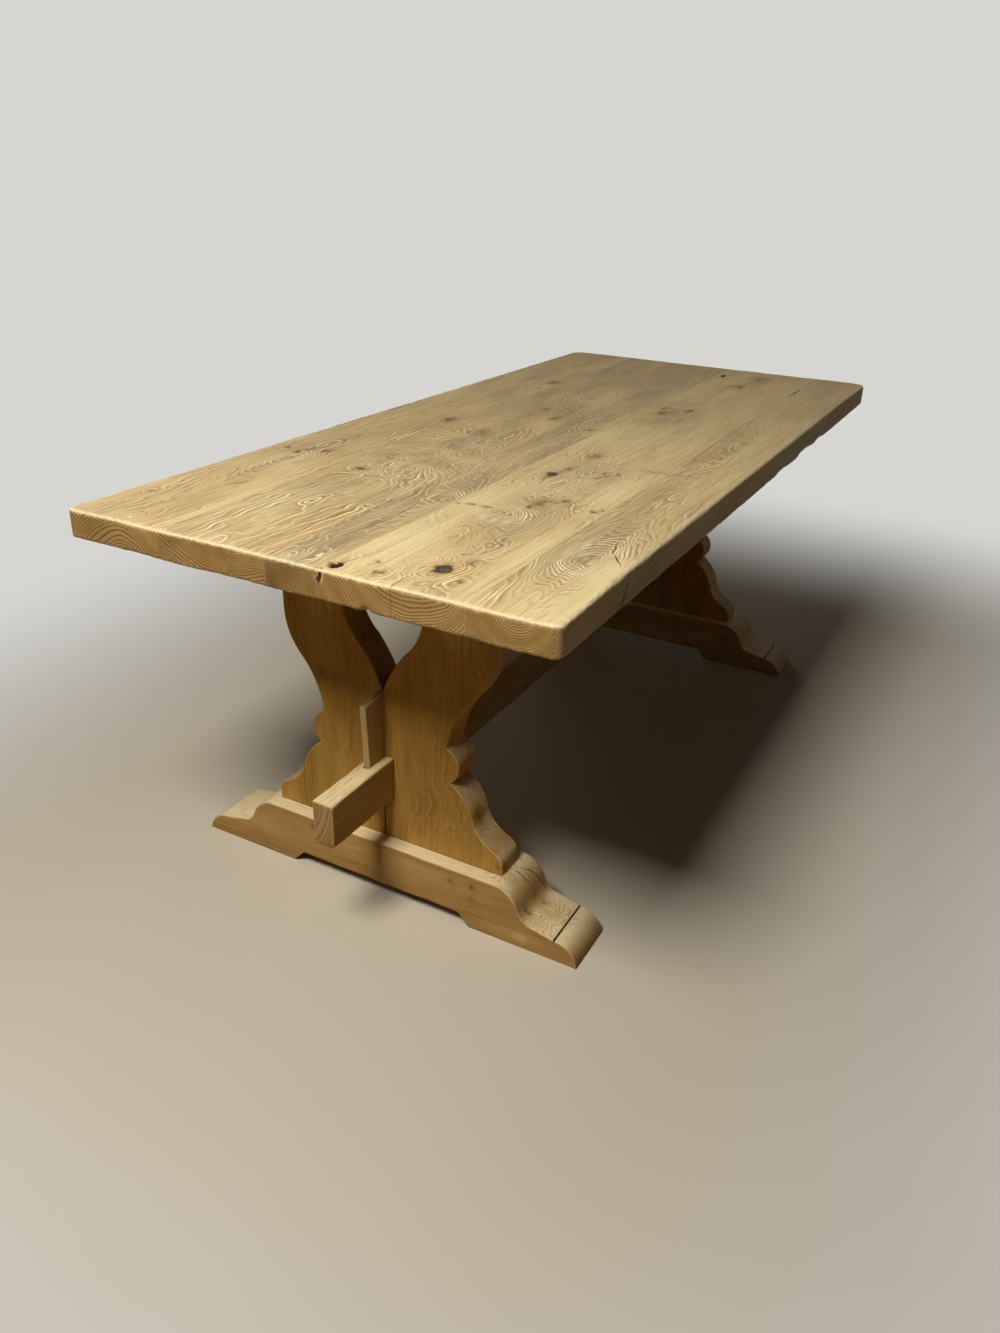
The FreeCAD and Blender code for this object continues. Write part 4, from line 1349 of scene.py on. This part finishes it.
def oak_material(name, grain, palette, colours):
    """Oak whose rings, knots, cracks and wear come from the fields of its piece.

    The ring count, frayed by noise, is cut into years. A year starts with a pale band of open pores
    and fades into denser wood, and some groups of years are darker than others. On end grain the same
    bands are dark lines.
    """
    bench = NodeBench(bpy.data.materials.new(name))
    place = bench.node("ShaderNodeTexCoord").outputs["Object"]
    flame = bench.stretched(place, grain, 0.25)
    fibre = bench.stretched(place, grain, 0.03)
    end = bench.attribute("end_grain")
    tone = bench.attribute("tone")

    # Years, their pale bands, late wood and fine threads
    fray = bench.math("MULTIPLY", bench.noise(flame, 40.0, 3.0), bench.remap(end, 0.0, 1.0, 0.6, 0.2))
    rings = bench.math("ADD", bench.attribute("rings"), fray)
    frayed = bench.plus(rings, bench.noise(fibre, 480.0, 2.0), 0.12)
    year = bench.math("FRACT", frayed)
    season = bench.math("FLOOR", frayed)
    season = bench.node("ShaderNodeTexWhiteNoise", {"W": season}, noise_dimensions="1D").outputs["Value"]
    season = bench.remap(season, 0.1, 0.9, 0.2, 1.0)
    pitch = bench.attribute("pitch")
    beside = bench.math("SUBTRACT", bench.math("FRACT", bench.math("ADD", frayed, 0.5)), 0.5)
    beside = bench.math("DIVIDE", beside, bench.remap(pitch, 0.02, 0.125, 0.02, 0.125))
    pale = bench.remap(bench.math("ABSOLUTE", beside), 0.3, 3.4, 1.0, 0.0)
    late = bench.remap(beside, -11.0, 1.0)
    late = bench.curve(late, ((0.0, 0.0), (0.45, 0.6), (0.7, 0.6), (0.88, 0.0)))
    broken = bench.remap(bench.noise(flame, 56.0, 4.0, 0.65), 0.36, 0.6, 0.1, 1.0)
    clear = bench.math("MULTIPLY", bench.attribute("figure"), broken)
    clear = bench.math("MULTIPLY", clear, palette.contrast)
    threads = bench.math("SINE", bench.math("MULTIPLY", frayed, 19.0))
    threads = bench.math("MULTIPLY", bench.remap(threads, 0.0, 0.9, 0.0, 0.3), clear)
    threads = bench.math("MULTIPLY", threads, bench.remap(pitch, 0.05, 0.1, 1.0, 0.0))
    pale = bench.math("MULTIPLY", bench.math("MULTIPLY", pale, clear), season, clamp=True)

    # Ground of the long faces: warm and stained patches, streaks, bleached places and pores
    decade = bench.math("SINE", bench.math("MULTIPLY", rings, 0.83))
    warmth = bench.remap(bench.plus(bench.noise(flame, 11.0, 3.0), decade, 0.1), 0.34, 0.7)
    ground = bench.mix(warmth, solid(palette.field), solid(palette.warm))
    shade = bench.plus(tone, bench.remap(bench.noise(flame, 26.0, 4.0, 0.6), 0.25, 0.75, -0.25, 0.4), 1.0)
    shade = bench.plus(shade, decade, 0.1)
    ground = bench.mix(bench.math("MAXIMUM", shade, 0.0, clamp=True), ground, solid(palette.stain))
    streak = bench.remap(bench.noise(fibre, 240.0, 4.0, 0.6), 0.36, 0.66)
    ground = bench.mix(bench.math("MULTIPLY", streak, 0.36), ground, solid(palette.line))
    bleach = bench.math("MULTIPLY", tone, -1.0)
    bleach = bench.plus(bleach, bench.math("SUBTRACT", bench.noise(fibre, 150.0, 3.0), 0.5), 1.6)
    bleach = bench.math("MULTIPLY", bleach, bench.remap(tone, -0.2, -0.05, 1.0, 0.0), clamp=True)
    ground = bench.mix(bleach, ground, solid(palette.bleach))
    ground = bench.mix(bench.math("MULTIPLY", late, clear), ground, solid(palette.late))
    ground = bench.mix(threads, ground, solid(palette.late))
    figure = bench.mix(pale, ground, solid(palette.line))
    pores = bench.remap(bench.noise(fibre, 950.0, 3.0, 0.7), 0.56, 0.72)
    figure = bench.mix(bench.math("MULTIPLY", pores, 0.55), figure, solid(palette.stain))

    # End grain
    dark_year = bench.curve(year, ((0.0, 1.0), (0.14, 0.85), (0.34, 0.12), (0.78, 0.0), (1.0, 0.9)))
    speckle = bench.remap(bench.noise(place, 900.0, 2.0), 0.35, 0.75, 0.6, 1.0)
    end_ground = bench.mix(warmth, solid(palette.end), solid(palette.warm))
    end_shade = bench.math("MULTIPLY", shade, 0.6, clamp=True)
    end_ground = bench.mix(end_shade, end_ground, solid(palette.end_line))
    end_face = bench.mix(bench.math("MULTIPLY", dark_year, speckle), end_ground, solid(palette.end_line))
    surface = bench.mix(end, figure, end_face)

    # Knots, holes and cracks
    ragged = bench.noise(place, 300.0, 4.0, 0.6)
    mottle = bench.noise(place, 110.0, 5.0, 0.65)
    knot = bench.plus(bench.attribute("knot"), bench.remap(mottle, 0.25, 0.75, -0.42, 0.42), 1.0)
    halo, rim, dark, grey = colours.knot_halo, colours.knot_rim, colours.knot_dark, colours.knot_grey
    core = bench.ramp(bench.remap(knot, -1.0, 2.0), (
        (0.0, (*halo, 0.0)), (0.24, (*halo, 0.1)), (0.36, (*halo, 0.45)), (0.44, (*rim, 0.8)),
        (0.51, (*dark, 0.95)), (0.72, (*dark, 0.95)), (0.86, (*grey, 0.9)), (0.97, (*dark, 0.95)),
    ))
    ripple = bench.math("SINE", bench.math("MULTIPLY", knot, 17.0))
    ripple = bench.remap(ripple, 0.0, 0.9, 0.0, 0.55)
    ripple = bench.math("MULTIPLY", ripple, bench.remap(knot, -0.75, -0.1))
    surface = bench.mix(ripple, surface, solid(palette.late))
    surface = bench.mix(core.outputs["Alpha"], surface, core.outputs["Color"])
    hole = bench.plus(bench.attribute("hollow"), bench.remap(ragged, 0.0, 1.0, -0.2, 0.2), 1.0)
    hole = bench.remap(hole, 0.08, 0.2)
    split = bench.plus(bench.attribute("crack"), bench.remap(ragged, 0.0, 1.0, -1.2, 1.2), 1.0)
    split = bench.remap(bench.math("ABSOLUTE", split), 0.7, 1.3, 1.0, 0.0)
    split = bench.math("MULTIPLY", split, bench.remap(bench.attribute("crack_near"), 0.3, 0.8))
    dirt = bench.math("MAXIMUM", hole, split)
    surface = bench.mix(dirt, surface, solid(colours.crack))

    # Rubbed arrises, relief and gloss
    rubbed = bench.remap(bench.noise(place, 190.0, 4.0, 0.6), 0.25, 0.75, -0.3, 0.3)
    rubbed = bench.remap(bench.plus(bench.attribute("arris"), rubbed, 1.0), 0.2, 0.95)
    rubbed = bench.math("MULTIPLY", rubbed, palette.wear)
    surface = bench.mix(bench.math("SUBTRACT", rubbed, dirt, clamp=True), surface, solid(palette.worn))

    relief = bench.plus(bench.math("MULTIPLY", streak, 0.5), pale, -0.15)
    relief = bench.plus(relief, pores, -0.6)
    relief = bench.plus(relief, dirt, -4.0)
    roughness = bench.remap(bench.math("ADD", streak, pores), 0.0, 1.6, 0.58, 0.82)
    return bench.finish(surface, roughness, relief, OAK_BUMP, OAK_RELIEF, OAK_SHINE)


def steel_material(colours):
    """Dull steel with fine scratches and a few brown spots."""
    bench = NodeBench(bpy.data.materials.new("dull_steel"))
    place = bench.node("ShaderNodeTexCoord").outputs["Object"]
    grain = bench.noise(place, 1800.0, 3.0)
    spots = bench.remap(bench.noise(place, 420.0, 3.0), 0.6, 0.75, 0.0, 0.6)
    colour = bench.mix(spots, solid(colours.steel), solid(colours.knot_halo))
    roughness = bench.remap(grain, 0.3, 0.7, 0.3, 0.5)
    return bench.finish(colour, roughness, grain, STEEL_BUMP, STEEL_RELIEF, STEEL_SHINE, metallic=0.9)


def top_palette(colours):
    """Bleached oak of the top, brown on its end grain."""
    return Palette(
        field=colours.top_field, line=colours.top_line, warm=colours.top_warm, stain=colours.top_stain,
        late=colours.top_late, bleach=colours.top_bleach, worn=colours.top_worn,
        end=colours.end_field, end_line=colours.end_line, contrast=0.95, wear=0.9,
    )


def base_palette(colours):
    """Honey oak of the feet and of the hidden pieces."""
    return Palette(
        field=colours.base_field, line=colours.base_line, warm=colours.base_warm, stain=colours.base_stain,
        late=colours.base_late, bleach=colours.base_bleach, worn=colours.base_worn,
        end=colours.base_end, end_line=colours.base_stain, contrast=1.3, wear=0.45,
    )


def upright_palette(colours):
    """Golden, quiet oak of the uprights."""
    return base_palette(colours)._replace(
        field=colours.upright_field, line=colours.upright_line, warm=colours.upright_warm,
        stain=colours.upright_stain, late=colours.upright_stain, contrast=0.45, wear=0.25,
    )


def stretcher_palette(colours):
    """Honey oak with the uprights' stain and paler arrises."""
    return base_palette(colours)._replace(stain=colours.upright_stain, contrast=0.7, wear=0.7)


def wedge_palette(colours):
    """Newer, paler oak of the wedges."""
    return base_palette(colours)._replace(
        field=colours.wedge_field, warm=colours.wedge_warm, worn=colours.top_line, contrast=0.4, wear=0.25,
    )


# Stage

def make_lamp(name, place, aim, size, power):
    """A square lamp that looks at a point."""
    data = bpy.data.lights.new(name, "AREA")
    data.shape = "SQUARE"
    data.size = size
    data.energy = power
    lamp = bpy.data.objects.new(name, data)
    lamp.location = place
    lamp.rotation_euler = (Vector(aim) - Vector(place)).to_track_quat("-Z", "Y").to_euler()
    bpy.context.scene.collection.objects.link(lamp)


def backdrop_rays(bench):
    """1 for rays from the camera, in mirrors and through glass, and 0 for rays that carry light."""
    path = bench.node("ShaderNodeLightPath")
    seen = bench.math("MAXIMUM", path.outputs["Is Camera Ray"], path.outputs["Is Glossy Ray"])
    return bench.math("MAXIMUM", seen, path.outputs["Is Transmission Ray"])


def floor_material(stage):
    """Plain matt floor that fades into the backdrop with its distance from the table's plan."""
    bench = NodeBench(bpy.data.materials.new("plain_floor"))
    place = bench.node("ShaderNodeTexCoord").outputs["Object"]
    outside = bench.vector("ABSOLUTE", place).outputs[0]
    outside = bench.vector("SUBTRACT", outside, HALF_PLAN).outputs[0]
    outside = bench.vector("MAXIMUM", outside).outputs[0]
    distance = bench.vector("LENGTH", outside).outputs["Value"]
    far = bench.node("ShaderNodeMapRange", {"Value": distance, "From Min": FADE_FROM, "From Max": FADE_TO},
                     interpolation_type="SMOOTHSTEP").outputs[0]
    soft = bench.noise(place, 3.0, 2.0)
    colour = bench.mix(bench.math("MULTIPLY", soft, 0.12), solid(stage.floor), solid(stage.backdrop))
    seen = backdrop_rays(bench)
    colour = bench.mix(seen, solid(stage.bounce), colour)
    matt = bench.node("ShaderNodeBsdfDiffuse", {"Color": colour})
    glow = bench.node("ShaderNodeEmission", {"Color": solid(stage.backdrop), "Strength": 1.0})
    share = bench.math("MULTIPLY", far, seen)
    both = bench.node("ShaderNodeMixShader", {0: share, 1: matt.outputs[0], 2: glow.outputs[0]})
    bench.node("ShaderNodeOutputMaterial", {"Surface": both.outputs[0]})
    return bench.owner


def make_floor(stage):
    """A flat round floor: radius by angle."""
    radii = np.linspace(0.0, FLOOR_RADIUS, FLOOR_RINGS + 1)[1:]
    angles = np.linspace(0, 2 * np.pi, FLOOR_SIDES, endpoint=False)
    radii, angles = np.meshgrid(radii, angles, indexing="ij")
    ring = np.stack([radii * np.cos(angles), radii * np.sin(angles), radii * 0.0], axis=-1).reshape(-1, 3)
    points = np.concatenate([ring, np.zeros((1, 3))])
    number = np.arange(radii.size).reshape(radii.shape)
    ahead = np.roll(number, -1, axis=1)
    quads = np.stack([number[:-1], number[1:], ahead[1:], ahead[:-1]], axis=-1).reshape(-1, 4)
    centre = np.stack([np.full(FLOOR_SIDES, len(points) - 1), number[0], ahead[0]], axis=1)
    mesh = bpy.data.meshes.new("floor")
    mesh.from_pydata(points.tolist(), [], quads.tolist() + centre.tolist())
    mesh.materials.append(floor_material(stage))
    floor = bpy.data.objects.new("floor", mesh)
    bpy.context.scene.collection.objects.link(floor)


def make_world(stage):
    """Even light from all round; what the camera sees is the plain backdrop."""
    bench = NodeBench(bpy.data.worlds.new("plain_backdrop"))
    light = bench.node("ShaderNodeBackground", {"Strength": stage.ambient})
    view = bench.node("ShaderNodeBackground", {"Color": solid(stage.backdrop)})
    both = {0: backdrop_rays(bench), 1: light.outputs[0], 2: view.outputs[0]}
    both = bench.node("ShaderNodeMixShader", both)
    bench.node("ShaderNodeOutputWorld", {"Surface": both.outputs[0]})
    bpy.context.scene.world = bench.owner


def make_camera():
    """The camera of the reference view. The sensor's width lies along the picture's height."""
    data = bpy.data.cameras.new("reference_view")
    data.sensor_width = SENSOR
    data.lens = SENSOR * FOCAL_PX / FRAME_HEIGHT_PX
    camera = bpy.data.objects.new("reference_view", data)
    turn = Matrix.Rotation(CAMERA_AZIMUTH, 4, "Z") @ Matrix.Rotation(math.pi / 2 - CAMERA_ELEVATION, 4, "X")
    turn = turn @ Matrix.Rotation(CAMERA_ROLL, 4, "Z")
    camera.matrix_world = Matrix.Translation(CAMERA_AT) @ turn
    bpy.context.scene.collection.objects.link(camera)
    bpy.context.scene.camera = camera


# Operators

def scene_oak(context, name, grain, palette):
    """Oak in the scene's colours."""
    colours = context.scene.oak_table_colours
    return oak_material(name, grain, palette(colours), colours)


class OAKTABLE_OT_top(bpy.types.Operator):
    """Lay the boards of the top"""

    bl_idname = "oak_table.top"
    bl_label = "Top boards"

    def execute(self, context):
        material = scene_oak(context, "oak_top", X, top_palette)
        for index in range(1, len(TOP_TIMBER) + 1):
            make_board(index, context.scene.oak_table_sizes, material)
        return {"FINISHED"}


class OAKTABLE_OT_uprights(bpy.types.Operator):
    """Saw the mirrored uprights of both trestles"""

    bl_idname = "oak_table.uprights"
    bl_label = "Uprights"

    def execute(self, context):
        material = scene_oak(context, "oak_upright", Z, upright_palette)
        for trestle in TRESTLES:
            for word, side in (("left", 1), ("right", -1)):
                name = "%s_%s_upright" % (trestle, word)
                make_upright(name, side, context.scene.oak_table_sizes, material)
        return {"FINISHED"}


class OAKTABLE_OT_feet(bpy.types.Operator):
    """Shape the moulded feet"""

    bl_idname = "oak_table.feet"
    bl_label = "Feet"

    def execute(self, context):
        material = scene_oak(context, "oak_foot", Y, base_palette)
        for trestle in TRESTLES:
            make_foot(trestle + "_foot", context.scene.oak_table_sizes, material)
        return {"FINISHED"}


class OAKTABLE_OT_bearers(bpy.types.Operator):
    """Lay the bearers under the top"""

    bl_idname = "oak_table.bearers"
    bl_label = "Bearers"

    def execute(self, context):
        material = scene_oak(context, "oak_bearer", Y, base_palette)
        for trestle in TRESTLES:
            make_bearer(trestle, context.scene.oak_table_sizes, material)
        return {"FINISHED"}


class OAKTABLE_OT_stretcher(bpy.types.Operator):
    """Run the stretcher through both trestles"""

    bl_idname = "oak_table.stretcher"
    bl_label = "Stretcher"

    def execute(self, context):
        material = scene_oak(context, "oak_stretcher", X, stretcher_palette)
        make_stretcher(context.scene.oak_table_sizes, material)
        return {"FINISHED"}


class OAKTABLE_OT_wedges(bpy.types.Operator):
    """Drive a tusk wedge into each tenon"""

    bl_idname = "oak_table.wedges"
    bl_label = "Wedges"

    def execute(self, context):
        material = scene_oak(context, "oak_wedge", Z, wedge_palette)
        for trestle in TRESTLES:
            make_wedge(trestle, context.scene.oak_table_sizes, material)
        return {"FINISHED"}


class OAKTABLE_OT_joinery(bpy.types.Operator):
    """Finish the tongues, dowels and screws that stay as they are in the frame"""

    bl_idname = "oak_table.joinery"
    bl_label = "Joinery"

    def execute(self, context):
        finishes = {
            "top_tongue": scene_oak(context, "oak_tongue", X, base_palette),
            "seam_dowels": scene_oak(context, "oak_dowel", Y, base_palette),
            "bearer_screws": steel_material(context.scene.oak_table_colours),
        }
        for name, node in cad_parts.items():
            for word, material in finishes.items():
                if word in name:
                    node.data.materials.clear()
                    node.data.materials.append(material)
        return {"FINISHED"}


class OAKTABLE_OT_stage(bpy.types.Operator):
    """Set the floor, the lamps and the camera"""

    bl_idname = "oak_table.stage"
    bl_label = "Stage"

    def execute(self, context):
        stage = context.scene.oak_table_stage
        context.scene.view_settings.view_transform = "Standard"
        make_floor(stage)
        make_world(stage)
        for name, lamp in LAMPS.items():
            make_lamp(name, *lamp, getattr(stage, name + "_power"))
        make_camera()
        return {"FINISHED"}


class OAKTABLE_PT_panel(bpy.types.Panel):
    """Steps that dress the table"""

    bl_idname = "OAKTABLE_PT_panel"
    bl_label = "Oak trestle table"
    bl_space_type = "VIEW_3D"
    bl_region_type = "UI"
    bl_category = "Table"

    def draw(self, context):
        for group in ("oak_table_sizes", "oak_table_colours", "oak_table_stage"):
            settings = getattr(context.scene, group)
            for name in settings.__annotations__:
                self.layout.prop(settings, name)
        for operator in OPERATORS:
            self.layout.operator(operator.bl_idname)


OPERATORS = (
    OAKTABLE_OT_top, OAKTABLE_OT_uprights, OAKTABLE_OT_feet, OAKTABLE_OT_bearers,
    OAKTABLE_OT_stretcher, OAKTABLE_OT_wedges, OAKTABLE_OT_joinery, OAKTABLE_OT_stage,
)
GROUPS = {"oak_table_colours": OakColours, "oak_table_sizes": TableSizes, "oak_table_stage": StageLook}


def register():
    """Add the settings, operators and panel."""
    for kind in (*GROUPS.values(), *OPERATORS, OAKTABLE_PT_panel):
        bpy.utils.register_class(kind)
    for name, group in GROUPS.items():
        setattr(bpy.types.Scene, name, PointerProperty(type=group))


def unregister():
    """Take them away again."""
    for name in GROUPS:
        delattr(bpy.types.Scene, name)
    for kind in (OAKTABLE_PT_panel, *reversed(OPERATORS), *GROUPS.values()):
        bpy.utils.unregister_class(kind)


def main():
    """Dress the table and set its stage."""
    register()
    bpy.ops.oak_table.top()
    bpy.ops.oak_table.uprights()
    bpy.ops.oak_table.feet()
    bpy.ops.oak_table.bearers()
    bpy.ops.oak_table.stretcher()
    bpy.ops.oak_table.wedges()
    bpy.ops.oak_table.joinery()
    bpy.ops.oak_table.stage()


if __name__ == "__main__":
    main()
